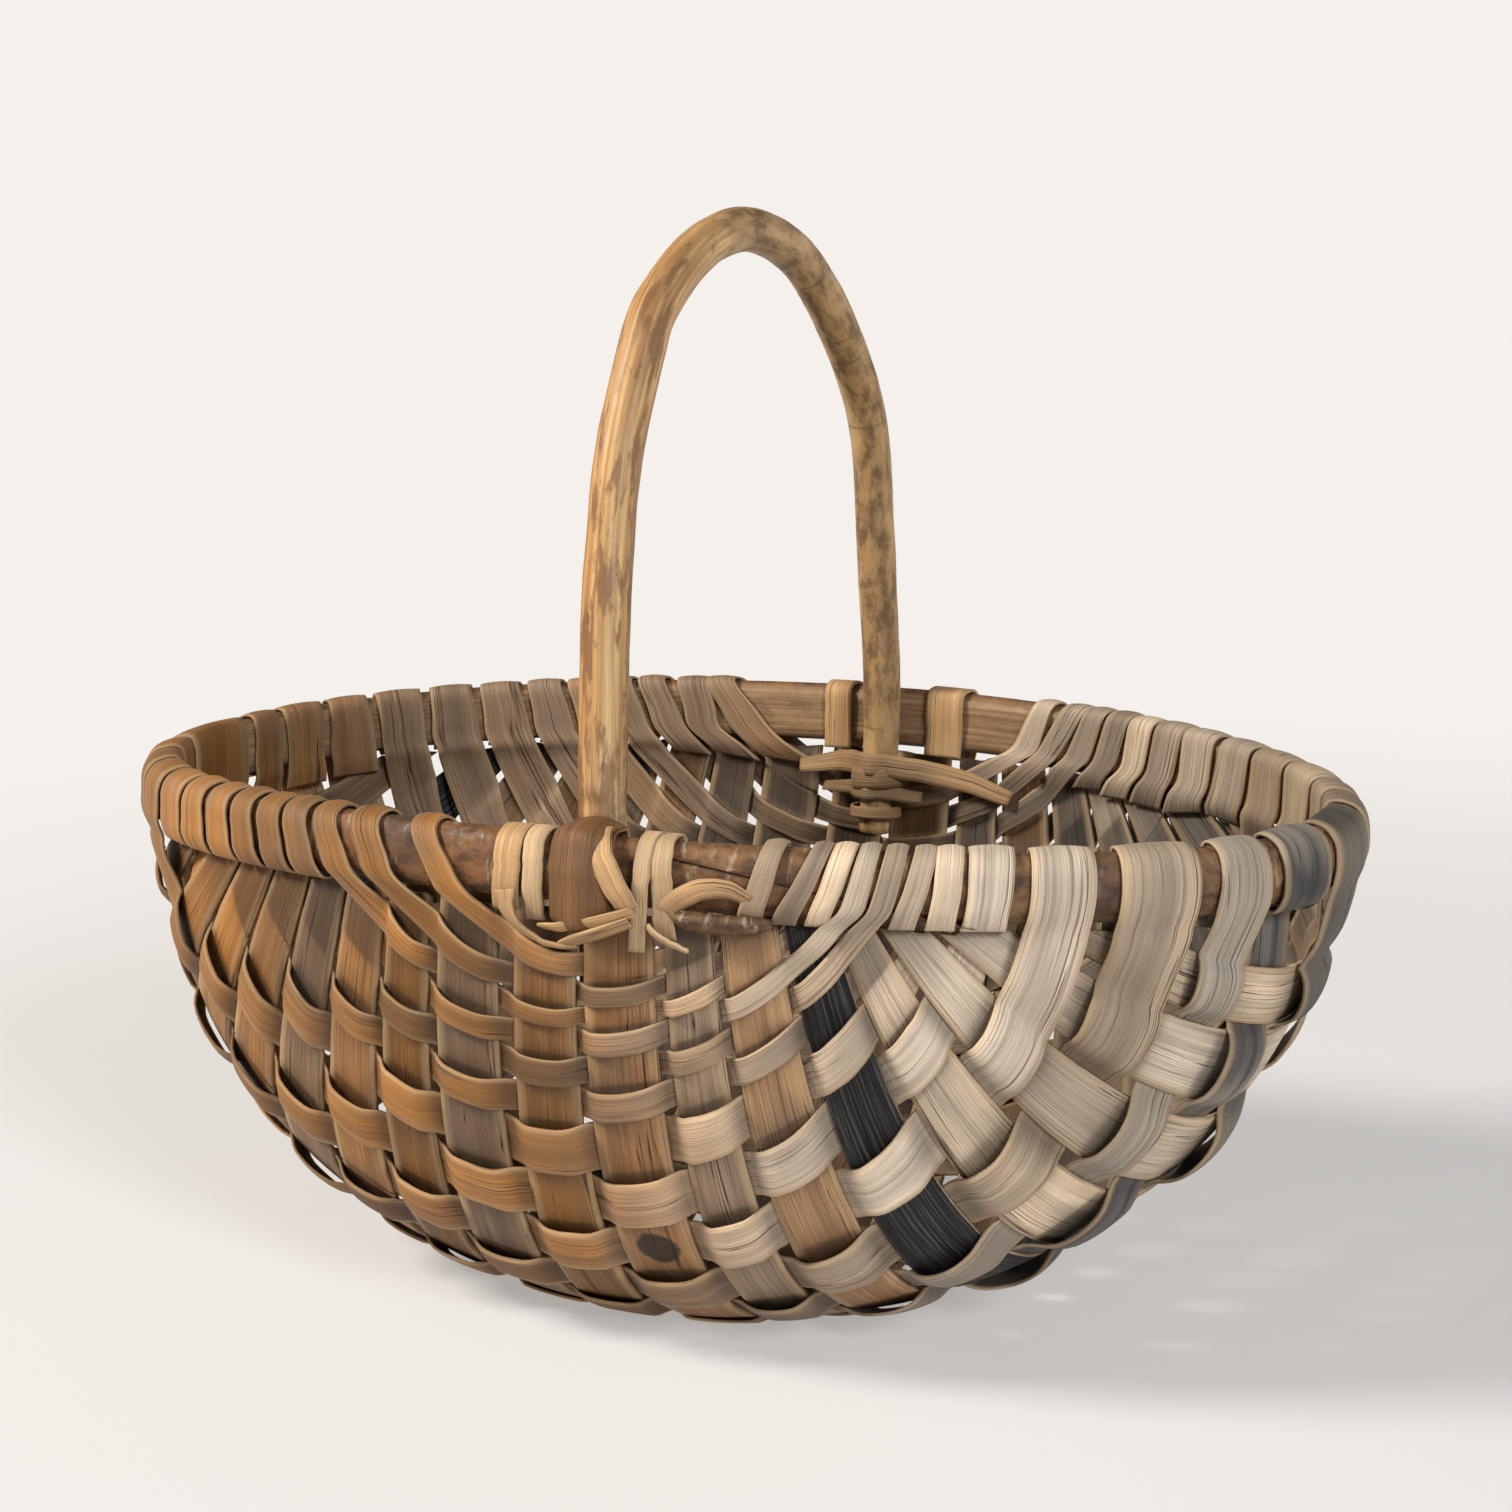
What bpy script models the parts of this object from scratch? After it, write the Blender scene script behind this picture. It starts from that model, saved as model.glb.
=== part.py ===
"""Oval rib-and-splint basket with a bent rod handle.

Metres, +Z up, the base stands on Z = 0, the length runs along X.
"""

import math

import bmesh
import bpy
import numpy as np
from mathutils import Vector

# Bowl: half length, half width and depth of the middle surface below the rim plane.
HALF_LONG = 0.2400
HALF_WIDE = 0.1352
DEEP = 0.2050
BULGE = 2.12
LEAN_X = -0.0175
LEAN_Y = -0.0094
RIM_SAG = -0.0072
FLAT_CUT = 0.0080
FLAT_EASE = 0.0030

# Strips.
RIB_THICK = 0.0020
WEAVER_THICK = 0.0010
WAVE = 0.0027
RIB_TOP = 0.0150
RIM_Z = DEEP - FLAT_CUT + WAVE + WEAVER_THICK / 2

# Rim rod, a D section with its flat side facing in.
RIM_HALF_TALL = 0.0120
RIM_OUT = 0.0075
RIM_IN = 0.0055
RIM_SHOULDER = 0.0010
RIM_FULLNESS = 0.8
RIM_FLAT_SHARE = 0.78
RIM_ROUND_POINTS = 7
RIM_STATIONS = 72
SCARF_START = 0.20
SCARF_STEPS = 5
SCARF_HIGH = 0.0090
SCARF_LOW = -0.0100
SCARF_GAP = 0.0005
CUT_SPREAD = 0.7
CUT_STEP = 0.0002

# Ribs: arc of the rim and arc of the long mid section, each as centre and half width, in millimetres.
RIBS = [
    (-178, 9.0, -302, 11.0),
    (-146, 8.5, -266, 16.5),
    (-127, 8.0, -227, 16.5),
    (-109, 8.0, -187, 16.0),
    (-91, 8.0, -147, 15.5),
    (-73, 8.5, -108, 14.5),
    (-54, 8.5, -71, 13.5),
    (-29, 12.0, -36, 15.0),
    (2, 11.5, 0, 14.0),
    (29, 12.5, 36, 15.0),
    (54, 8.0, 71, 12.5),
    (74, 9.5, 106, 14.5),
    (93, 7.0, 145, 16.0),
    (105, 5.0, 190, 17.0),
    (117.5, 6.0, 232, 16.0),
    (134, 9.5, 272, 15.0),
    (166, 13.0, 302, 11.0),
]
EDGE = 0.38
CENTRE_RIB = 8
RIB_CLEAR = 0.004
CROSSING_CLEAR = 0.003

# Weavers of one side, in millimetres: start and end of the band on the left rim, on the right rim
# and on the short mid section.
FRONT_ROWS = [
    (33.0, 45.0, 77.5, 86.0, 26.5, 36.5),
    (60.0, 74.0, 91.5, 99.5, 39.5, 48.0),
    (80.0, 93.0, 101.0, 109.0, 49.5, 57.0),
    (97.0, 110.0, 110.2, 118.0, 58.5, 68.5),
    (113.0, 126.0, 119.2, 127.0, 70.0, 81.5),
    (129.0, 142.0, 128.3, 136.5, 83.0, 96.0),
    (145.0, 160.0, 138.0, 147.5, 98.0, 119.5),
    (163.0, 180.0, 149.0, 164.0, 122.0, 145.0),
    (183.0, 203.0, 169.0, 191.0, 147.5, 172.0),
    (206.0, 228.0, 198.0, 226.0, 174.5, 199.0),
    (231.0, 255.0, 232.0, 252.0, 201.5, 225.0),
    (258.0, 275.5, 256.0, 279.0, 227.5, 251.0),
]
BACK_ROWS = [
    (45.0, 62.0, 77.0, 88.5, 27.0, 38.0),
    (64.0, 79.0, 90.0, 101.5, 39.5, 49.0),
    (81.0, 95.0, 103.0, 114.5, 50.5, 60.0),
    (97.0, 111.0, 116.0, 127.5, 61.5, 72.0),
    (113.0, 128.0, 129.0, 141.0, 73.5, 85.0),
    (130.0, 147.0, 142.5, 157.0, 87.0, 103.0),
    (149.0, 169.0, 158.5, 176.0, 105.0, 125.0),
    (171.0, 192.0, 178.0, 197.0, 127.5, 149.0),
    (194.5, 215.0, 199.0, 221.0, 151.5, 174.0),
    (217.5, 238.0, 223.0, 246.0, 176.5, 200.0),
    (240.5, 259.0, 248.5, 264.0, 202.5, 225.5),
    (261.5, 276.0, 266.5, 283.0, 228.0, 251.0),
]
BASE_ROW = 8
WIDE_ROW = 8

# End of a weaver: depth below the rim plane and lift off the bowl at each bend, then the fold over the rod.
MID_BEND_FROM = 0.0380
MID_BEND_LIFT = 0.0034
LOW_BEND_FROM = 0.0260
LOW_BEND_DEPTH = 0.0205
LOW_BEND_LIFT = 0.0042
TOP_BEND_DEPTH = 0.0135
TOP_BEND_LIFT = 0.0066
FOLD_SIDE = 0.0060
FOLD_SHOULDER = 0.0050
FOLD_GAP_OUT = 0.0005
FOLD_GAP_IN = 0.0006
TAIL_START_DEPTH = 0.0150
TAIL_START_LIFT = 0.0062
TAIL_END_DEPTH = 0.0245
TAIL_END_LIFT = 0.0040
CENTRE_FRONT = (278.5, 282.0, 253.5)
CENTRE_BACK = (279.0, 285.5, 253.5)

# Handle rod: feet, arch and the flat cut where each leg lies against the rim.
HANDLE_X = 0.0155
HANDLE_RADIUS_FRONT = 0.0088
HANDLE_RADIUS_BACK = 0.0076
HANDLE_TIP_RADIUS = 0.0062
HANDLE_BELOW = 0.0460
HANDLE_FACET = 0.0065
FACET_TOP = 0.0220
HANDLE_SIDES = 10
HANDLE_STATIONS = 26
HANDLE_LEG_STATIONS = 4

# Bindings: gap to the rim's flat side, and the turn of a ring round a leg in degrees to each side.
BAND_GAP_IN = 0.0006
RING_STEPS = 10
RING_HALF_TURN = 118
RING_WIDENING = 1.08

# Bends of the handle's centre line from the front foot to the back foot: across and up, in millimetres.
HANDLE_BENDS = [
    (-120, -30),
    (-120, 0),
    (-119, 34),
    (-109, 96),
    (-96, 142),
    (-81, 169),
    (-65, 187),
    (-36, 202),
    (5, 208),
    (46, 197),
    (75, 174),
    (103, 143),
    (114, 115),
    (119, 60),
    (120, 0),
    (120, -30),
]

MM = 0.001
SAMPLES = 2001
HALVINGS = 40


def curve_table(points):
    """Cumulative length along sampled points."""
    steps = np.linalg.norm(np.diff(points, axis=0), axis=1)
    return np.concatenate([[0.0], np.cumsum(steps)])


TURN = np.linspace(0.0, math.pi / 2, SAMPLES)
RIM_ARC = curve_table(np.stack([HALF_LONG * np.sin(TURN), HALF_WIDE * np.cos(TURN)], 1))
SIN_P = np.sin(TURN) ** (2 / BULGE)
COS_P = np.clip(np.cos(TURN), 0.0, 1.0) ** (2 / BULGE)
LONG_ARC = curve_table(np.stack([HALF_LONG * SIN_P, DEEP * COS_P], 1))
SHORT_ARC = curve_table(np.stack([HALF_WIDE * COS_P, DEEP * SIN_P], 1))
RIM_QUARTER = RIM_ARC[-1]


def rim_turn(arc):
    """Angle on the rim ellipse at a signed arc from the middle of the front."""
    arc = np.asarray(arc, float)
    whole = np.abs(arc)
    near = np.interp(np.minimum(whole, RIM_QUARTER), RIM_ARC, TURN)
    far = math.pi - np.interp(np.maximum(2 * RIM_QUARTER - whole, 0.0), RIM_ARC, TURN)
    return np.sign(arc) * np.where(whole <= RIM_QUARTER, near, far)


def rim_frame(turn):
    """Point on the rim ellipse and its outward normal, both flat in the rim plane."""
    turn = np.asarray(turn, float)
    point = np.stack([HALF_LONG * np.sin(turn), -HALF_WIDE * np.cos(turn)], -1)
    normal = np.stack([np.sin(turn) / HALF_LONG, -np.cos(turn) / HALF_WIDE], -1)
    return point, normal / np.linalg.norm(normal, axis=-1, keepdims=True)


def knots(column, half):
    """Positions of the two edges of every rib, in order, between the two tips."""
    edges = []
    for rib in RIBS:
        edges.append((rib[column] - rib[half]) * MM)
        edges.append((rib[column] + rib[half]) * MM)
    return edges


RIB_V = []
for number in range(len(RIBS)):
    RIB_V.append(number - CENTRE_RIB - EDGE)
    RIB_V.append(number - CENTRE_RIB + EDGE)
RIB_RIM = knots(0, 1)
RIB_LONG = knots(2, 3)


def rib_line(v):
    """Rib plane v, parallel to Y: its X in the rim plane and its X shift per metre of depth."""
    rim_x = HALF_LONG * np.sin(rim_turn(np.interp(v, RIB_V, RIB_RIM)))
    arc = np.interp(v, RIB_V, RIB_LONG)
    turn = np.interp(np.abs(arc), LONG_ARC, TURN)
    low_x = np.sign(arc) * HALF_LONG * np.sin(turn) ** (2 / BULGE)
    low_d = DEEP * np.cos(turn) ** (2 / BULGE)
    return rim_x, (low_x - rim_x) / low_d


def row_plane(left, right, short, side):
    """Row plane y = a + b x + c d through two rim points and a point of the short mid section."""
    left_p = rim_frame(-rim_turn(left * MM))[0]
    right_p = rim_frame(rim_turn(right * MM))[0]
    slope = (right_p[1] - left_p[1]) / (right_p[0] - left_p[0])
    start = left_p[1] - slope * left_p[0]
    turn = np.interp(short * MM, SHORT_ARC, TURN)
    mid_y = -HALF_WIDE * np.cos(turn) ** (2 / BULGE)
    mid_d = DEEP * np.sin(turn) ** (2 / BULGE)
    plane = np.array([start, slope, (mid_y - start) / mid_d])
    return plane * -side


def meet(plane, v):
    """Point (x, y, depth) where a row plane, a rib plane and the bowl meet."""
    rim_x, lean = rib_line(np.asarray(v, float))
    low = np.zeros(rim_x.shape)
    high = np.full(rim_x.shape, DEEP)
    for _ in range(HALVINGS):
        depth = (low + high) / 2
        x = rim_x + lean * depth
        y = plane[0] + plane[1] * x + plane[2] * depth
        inside = bowl(x, y, depth) < 1
        low = np.where(inside, depth, low)
        high = np.where(inside, high, depth)
    x = rim_x + lean * low
    return np.stack([x, plane[0] + plane[1] * x + plane[2] * low, low], -1)


def bowl(x, y, depth):
    ring = (x / HALF_LONG) ** 2 + (y / HALF_WIDE) ** 2
    return ring ** (BULGE / 2) + (np.maximum(depth, 0) / DEEP) ** BULGE


def at_depth(plane, depth, end):
    """Point of a row plane on the bowl at a depth, on its left (-1) or right (+1) end."""
    ring = (1 - (depth / DEEP) ** BULGE) ** (2 / BULGE)
    y0 = plane[0] + plane[2] * depth
    a = 1 / HALF_LONG**2 + plane[1] ** 2 / HALF_WIDE**2
    b = 2 * plane[1] * y0 / HALF_WIDE**2
    c = y0**2 / HALF_WIDE**2 - ring
    x = (-b + end * math.sqrt(b * b - 4 * a * c)) / (2 * a)
    return np.array([x, y0 + plane[1] * x, depth])


def place(point, lift):
    """World position of a bowl point lifted along its outward normal."""
    x, y, depth = point[..., 0], point[..., 1], point[..., 2]
    ring = (x / HALF_LONG) ** 2 + (y / HALF_WIDE) ** 2 + 1e-12
    push = ring ** (BULGE / 2 - 1)
    start = DEEP - FLAT_CUT - FLAT_EASE
    over = np.clip(depth - start, 0, 2 * FLAT_EASE)
    shown = np.minimum(depth, start + 2 * FLAT_EASE) - over**2 / (4 * FLAT_EASE)
    ease = 1 - over / (2 * FLAT_EASE)
    normal_x = push * x / HALF_LONG**2 * ease
    normal_y = push * y / HALF_WIDE**2 * ease
    normal_z = -((np.maximum(depth, 0) / DEEP) ** (BULGE - 1)) / DEEP
    normal_z = normal_z + (LEAN_X * normal_x + LEAN_Y * normal_y) / DEEP
    normal = np.stack([normal_x, normal_y, normal_z], -1)
    normal = normal / np.linalg.norm(normal, axis=-1, keepdims=True)
    share = np.clip(depth / DEEP, 0, 1)
    world_x = x + LEAN_X * share
    world_y = y + LEAN_Y * share
    world_z = RIM_Z - shown + RIM_SAG * (x / HALF_LONG) ** 2 * (1 - share)
    base = np.stack([world_x, world_y, world_z], -1)
    return base + normal * np.asarray(lift)[..., None]


def beside_rim(turn, out, up):
    """World position next to the rim rod: out along the rim's normal, up from its centre line."""
    point, normal = rim_frame(turn)
    flat = point + normal * np.asarray(out)[..., None]
    share = np.clip(-np.asarray(up) / DEEP, 0, 1)
    x = flat[..., 0] + LEAN_X * share
    y = flat[..., 1] + LEAN_Y * share
    z = RIM_Z + up + RIM_SAG * (flat[..., 0] / HALF_LONG) ** 2 * (1 - share)
    return np.stack([x, y, z], -1)


def clear_scene():
    for obj in list(bpy.data.objects):
        bpy.data.objects.remove(obj, do_unlink=True)


def material(name, colour, roughness):
    made = bpy.data.materials.new(name)
    made.use_nodes = True
    shader = made.node_tree.nodes["Principled BSDF"]
    shader.inputs["Base Color"].default_value = (*colour, 1.0)
    shader.inputs["Roughness"].default_value = roughness
    shader.inputs["Metallic"].default_value = 0.0
    return made


def new_object(name, mesh, slot):
    obj = bpy.data.objects.new(name, mesh)
    obj.data.materials.append(slot)
    BASKET.objects.link(obj)
    return obj


def strip(name, rows, thick, slot):
    """A splint: a grid laid through rows of points, thickened evenly on both sides."""
    rows = np.asarray(rows)
    long_count, wide_count = rows.shape[:2]
    made = bmesh.new()
    bmesh.ops.create_grid(made, x_segments=long_count - 1, y_segments=wide_count - 1, size=1)
    for vert in made.verts:
        i = round((vert.co.x + 1) / 2 * (long_count - 1))
        j = round((vert.co.y + 1) / 2 * (wide_count - 1))
        vert.co = rows[i, j]
    mesh = bpy.data.meshes.new(name)
    made.to_mesh(mesh)
    made.free()
    obj = new_object(name, mesh, slot)
    solid = obj.modifiers.new("Thickness", "SOLIDIFY")
    solid.thickness = thick
    solid.offset = 0
    return obj


def tube(name, rings, slot):
    """A rod: a grid rolled into rings of points, seam welded and both ends capped."""
    rings = np.asarray(rings)
    long_count, around = rings.shape[:2]
    made = bmesh.new()
    bmesh.ops.create_grid(made, x_segments=long_count - 1, y_segments=around, size=1)
    for vert in made.verts:
        i = round((vert.co.x + 1) / 2 * (long_count - 1))
        j = round((vert.co.y + 1) / 2 * around) % around
        vert.co = rings[i, j]
    bmesh.ops.remove_doubles(made, verts=made.verts, dist=0.000001)
    bmesh.ops.holes_fill(made, edges=made.edges, sides=around)
    bmesh.ops.recalc_face_normals(made, faces=made.faces)
    mesh = bpy.data.meshes.new(name)
    made.to_mesh(mesh)
    made.free()
    return new_object(name, mesh, slot)


def rib_stations(rows, centre, side):
    """Row planes that a rib bends at: midway in each gap, and both sides of the gap on the curved base."""
    planes = []
    for number in range(len(rows)):
        row = rows[number]
        following = (centre[0], centre[1], centre[2])
        if number + 1 < len(rows):
            after = rows[number + 1]
            following = (after[0], after[2], after[4])
        ahead = row_plane(row[1], row[3], row[5], side)
        beyond = row_plane(*following, side)
        if number >= BASE_ROW:
            planes.append(ahead)
            planes.append(beyond)
        else:
            planes.append((ahead + beyond) / 2)
    return planes


def build_rib(number, planes, slot):
    """One rib: a flat strip from the front rim, under the bowl, to the back rim."""
    v = number - CENTRE_RIB
    edges = np.array([v - EDGE, v + EDGE])
    rim_x, lean = rib_line(edges)
    x = rim_x + lean * RIB_TOP
    ring = (1 - (RIB_TOP / DEEP) ** BULGE) ** (2 / BULGE)
    y = HALF_WIDE * np.sqrt(ring - (x / HALF_LONG) ** 2)
    depth = np.full(2, RIB_TOP)
    rows = [np.stack([x, -y, depth], -1)]
    for plane in planes:
        met = meet(plane, edges)
        if met[:, 2].min() > RIB_TOP + RIB_CLEAR:
            rows.append(met)
    rows.append(np.stack([x, y, depth], -1))
    rows = np.asarray(rows)
    strip(f"rib_{number + 1:02d}", place(rows, np.zeros(rows.shape[:2])), RIB_THICK, slot)


def wrap_end(plane, end, sign, last_depth):
    """Points of one edge of a weaver from its last rib, over the rim and down the other side."""
    rows = []
    if last_depth > MID_BEND_FROM:
        rows.append(place(at_depth(plane, (last_depth + LOW_BEND_DEPTH) / 2, end), sign * MID_BEND_LIFT))
    if last_depth > LOW_BEND_FROM:
        rows.append(place(at_depth(plane, LOW_BEND_DEPTH, end), sign * LOW_BEND_LIFT))
    rows.append(place(at_depth(plane, TOP_BEND_DEPTH, end), sign * TOP_BEND_LIFT))
    top = at_depth(plane, 0.0, end)
    low = at_depth(plane, TOP_BEND_DEPTH, end)
    turn_top = math.atan2(top[0] / HALF_LONG, -top[1] / HALF_WIDE)
    turn_low = math.atan2(low[0] / HALF_LONG, -low[1] / HALF_WIDE)
    turn_low = turn_top + math.remainder(turn_low - turn_top, 2 * math.pi)
    drift = (turn_top - turn_low) / TOP_BEND_DEPTH
    outer = RIM_OUT + WEAVER_THICK / 2 + FOLD_GAP_OUT
    inner = RIM_IN + WEAVER_THICK / 2 + FOLD_GAP_IN
    crest = RIM_HALF_TALL + WEAVER_THICK / 2 + FOLD_GAP_IN
    path = [(outer, -FOLD_SIDE), (outer, FOLD_SHOULDER), (outer * 0.62, crest - 0.0013)]
    path += [(-inner * 0.55, crest)]
    path += [(-inner - 0.0004, crest - 0.0030), (-inner - 0.0002, -FOLD_SIDE)]
    if sign < 0:
        path = path[::-1]
    for out, up in path:
        rows.append(beside_rim(turn_top + drift * up, out, up))
    rows.append(place(at_depth(plane, TAIL_START_DEPTH, end), -sign * TAIL_START_LIFT))
    rows.append(place(at_depth(plane, TAIL_END_DEPTH, end), -sign * TAIL_END_LIFT))
    return rows


def build_weaver(name, low_plane, high_plane, parity, across, slot):
    """One splint: over and under the ribs along its band, each end folded over the rim."""
    crossed = []
    for number in range(len(RIBS)):
        v = number - CENTRE_RIB
        edges = np.array([v - EDGE, v + EDGE])
        depths = np.concatenate([meet(low_plane, edges)[:, 2], meet(high_plane, edges)[:, 2]])
        if depths.min() > RIB_TOP + CROSSING_CLEAR:
            crossed.append(v)
    signs = [1 if (v + parity) % 2 == 0 else -1 for v in crossed]
    outer_edges = (np.array([crossed[0] - EDGE]), np.array([crossed[-1] + EDGE]))
    last_depths = []
    for edge in outer_edges:
        last_depths.append(min(meet(low_plane, edge)[0, 2], meet(high_plane, edge)[0, 2]))
    middles = []
    for plane in (low_plane, high_plane):
        points = []
        for v, sign in zip(crossed, signs):
            met = meet(plane, np.array([v - EDGE, v + EDGE]))
            points += list(place(met, np.full(2, sign * WAVE)))
        middles.append(np.asarray(points))
    columns = []
    for step in range(across):
        share = step / (across - 1)
        plane = low_plane + (high_plane - low_plane) * share
        left = wrap_end(plane, -1, signs[0], last_depths[0])[::-1]
        right = wrap_end(plane, 1, signs[-1], last_depths[1])
        middle = list(middles[0] + (middles[1] - middles[0]) * share)
        columns.append(np.asarray(left + middle + right))
    strip(name, np.stack(columns, 1), WEAVER_THICK, slot)


def rim_profile():
    """D section of the rim rod as (out, up) points, round outside and flat inside."""
    points = []
    for step in range(RIM_ROUND_POINTS):
        turn = -math.pi / 2 + math.pi * step / (RIM_ROUND_POINTS - 1)
        reach = max(math.cos(turn), 0.0) ** RIM_FULLNESS
        out = -RIM_SHOULDER + (RIM_OUT + RIM_SHOULDER) * reach
        points.append((out, RIM_HALF_TALL * math.sin(turn)))
    points.append((-RIM_IN, RIM_HALF_TALL * RIM_FLAT_SHARE))
    points.append((-RIM_IN, -RIM_HALF_TALL * RIM_FLAT_SHARE))
    return points


def cut_profile(cut, keep_top):
    """D section with everything below (or above) a level cut away, its point count kept."""
    if not keep_top:
        return [(out, -up) for out, up in cut_profile(-cut, True)]
    level = math.sqrt(max(1 - (cut / RIM_HALF_TALL) ** 2, 0.0))
    edge_out = -RIM_SHOULDER + (RIM_OUT + RIM_SHOULDER) * level**RIM_FULLNESS
    over = max(cut - RIM_HALF_TALL * RIM_FLAT_SHARE, 0.0) / (RIM_HALF_TALL * (1 - RIM_FLAT_SHARE))
    edge_in = -RIM_IN + (RIM_IN - RIM_SHOULDER) * over
    points = []
    for number, (out, up) in enumerate(rim_profile()):
        if up >= cut:
            points.append((out, up))
        elif number < RIM_ROUND_POINTS:
            share = (cut - up) / (cut + RIM_HALF_TALL)
            points.append((edge_out + (edge_in - edge_out) * share * CUT_SPREAD, cut))
        else:
            points.append((edge_in + (number - RIM_ROUND_POINTS) * CUT_STEP, cut))
    return points


def build_rim(slot):
    """The hoop: one rod bent round the oval, its two ends tapered and lapped in a scarf."""
    step_turn = 2 * math.pi / (RIM_STATIONS - SCARF_STEPS)
    rings = []
    for step in range(RIM_STATIONS + 1):
        turn = SCARF_START + step_turn * step
        from_end = RIM_STATIONS - step
        profile = rim_profile()
        if step <= SCARF_STEPS:
            profile = cut_profile(SCARF_HIGH + (SCARF_LOW - SCARF_HIGH) * step / SCARF_STEPS, True)
        if from_end <= SCARF_STEPS:
            level = SCARF_LOW + (SCARF_HIGH - SCARF_LOW) * from_end / SCARF_STEPS
            profile = cut_profile(level - SCARF_GAP, False)
        rings.append([beside_rim(turn, out, up) for out, up in profile])
    tube("rim_hoop", rings, slot)


def handle_path(share):
    """Centre line of the arch through its bends: share runs from 0 at the front foot to 1 at the back."""
    spans = len(HANDLE_BENDS) - 3
    place_on = min(max(share, 0.0), 1.0) * spans
    first = min(int(place_on), spans - 1)
    t = place_on - first
    p0, p1, p2, p3 = [np.array(HANDLE_BENDS[first + k], float) for k in range(4)]
    tangent_in = (p2 - p0) / 2
    tangent_out = (p3 - p1) / 2
    spot = p1 * (2 * t**3 - 3 * t**2 + 1) + tangent_in * (t**3 - 2 * t**2 + t)
    spot = spot + p2 * (3 * t**2 - 2 * t**3) + tangent_out * (t**3 - t**2)
    return np.array([HANDLE_X, spot[0] * MM, RIM_Z + spot[1] * MM])


def leg_point(share, down):
    """Centre line of a leg below the rim plane, leaning with the bowl's wall."""
    return handle_path(share) + np.array([LEAN_X, LEAN_Y, 0]) * down / DEEP - np.array([0, 0, down])


def build_handle(slot):
    """The bent rod, round along the arch and flattened where it lies against the rim."""
    stations = []
    for step in range(HANDLE_LEG_STATIONS):
        stations.append(leg_point(0.0, HANDLE_BELOW * (1 - step / HANDLE_LEG_STATIONS)))
    for step in range(HANDLE_STATIONS + 1):
        stations.append(handle_path(step / HANDLE_STATIONS))
    for step in range(HANDLE_LEG_STATIONS):
        stations.append(leg_point(1.0, HANDLE_BELOW * (step + 1) / HANDLE_LEG_STATIONS))
    count = len(stations)
    side_axis = np.array([1.0, 0.0, 0.0])
    rings = []
    for number, spot in enumerate(stations):
        ahead = stations[min(number + 1, count - 1)] - stations[max(number - 1, 0)]
        ahead = ahead / np.linalg.norm(ahead)
        outward = np.cross(side_axis, ahead)
        outward = outward / np.linalg.norm(outward)
        across = np.cross(ahead, outward)
        facing = math.copysign(1.0, outward[1] * spot[1])
        radius = HANDLE_RADIUS_FRONT + (HANDLE_RADIUS_BACK - HANDLE_RADIUS_FRONT) * number / (count - 1)
        below = RIM_Z - spot[2]
        if below > 0:
            radius = radius + (HANDLE_TIP_RADIUS - radius) * below / HANDLE_BELOW
        ring = []
        for step in range(HANDLE_SIDES):
            turn = 2 * math.pi * (step + 0.5) / HANDLE_SIDES
            out = math.cos(turn) * radius
            if below > -FACET_TOP:
                out = facing * min(out * facing, HANDLE_FACET)
            ring.append(spot + outward * out + across * math.sin(turn) * radius)
        rings.append(ring)
    tube("handle", rings, slot)


def band(name, start, stop, back, gap, tails, slant, thick, slot):
    """A binding splint round the rim rod at a stretch of arc, with a tail hanging on each side."""
    outer = RIM_OUT + thick / 2 + gap
    inner = RIM_IN + thick / 2 + BAND_GAP_IN
    crest = RIM_HALF_TALL + thick / 2 + gap
    path = [(outer - 0.0012, -tails[0]), (outer, -0.009), (outer + gap, 0.0), (outer * 0.95, 0.0075)]
    path += [(outer * 0.5, crest - 0.0006), (-inner * 0.55, crest), (-inner - 0.0003, crest - 0.0026)]
    path += [(-inner, -0.005), (-inner, -tails[1])]
    rows = []
    for out, up in path:
        pair = []
        for arc in (start, stop):
            shifted = arc + slant * (up / RIM_HALF_TALL)
            turn = rim_turn(shifted * MM)
            if back:
                turn = math.pi - turn
            pair.append(beside_rim(turn, out, up))
        rows.append(pair)
    strip(name, rows, thick, slot)


def lacing(name, points, wide, back, thick, slot):
    """A binding splint that runs along the rim: points give arc, distance out and height, in millimetres."""
    rows = []
    for arc, out, up in points:
        turn = rim_turn(arc * MM)
        if back:
            turn = math.pi - turn
        low = beside_rim(turn, out * MM, (up - wide / 2) * MM)
        high = beside_rim(turn, out * MM, (up + wide / 2) * MM)
        rows.append([low, high])
    strip(name, rows, thick, slot)


def ring_round_leg(name, back, down, wide, reach, slot):
    """A tight binding that passes round the handle's leg inside the bowl."""
    centre = leg_point(1.0 if back else 0.0, down)
    inward = -1.0 if back else 1.0
    rows = []
    for step in range(RING_STEPS + 1):
        turn = math.radians(RING_HALF_TURN * (2 * step / RING_STEPS - 1))
        x = centre[0] + reach * math.sin(turn) * RING_WIDENING
        y = centre[1] + inward * reach * math.cos(turn)
        rows.append([[x, y, centre[2] - wide / 2], [x, y, centre[2] + wide / 2]])
    strip(name, rows, WEAVER_THICK, slot)


def centre_parts():
    """Moves every piece so that the whole stands centred over the origin."""
    bpy.context.view_layer.update()
    graph = bpy.context.evaluated_depsgraph_get()
    low = np.full(3, 1e9)
    high = np.full(3, -1e9)
    for obj in BASKET.objects:
        shape = obj.evaluated_get(graph).to_mesh()
        points = np.array([vert.co for vert in shape.vertices])
        low = np.minimum(low, points.min(0))
        high = np.maximum(high, points.max(0))
    shift = -(low + high) / 2
    shift[2] = -low[2]
    for obj in BASKET.objects:
        for vert in obj.data.vertices:
            vert.co = vert.co + Vector(shift)


clear_scene()
BASKET = bpy.data.collections.new("winnowing_basket")
bpy.context.scene.collection.children.link(BASKET)

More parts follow.
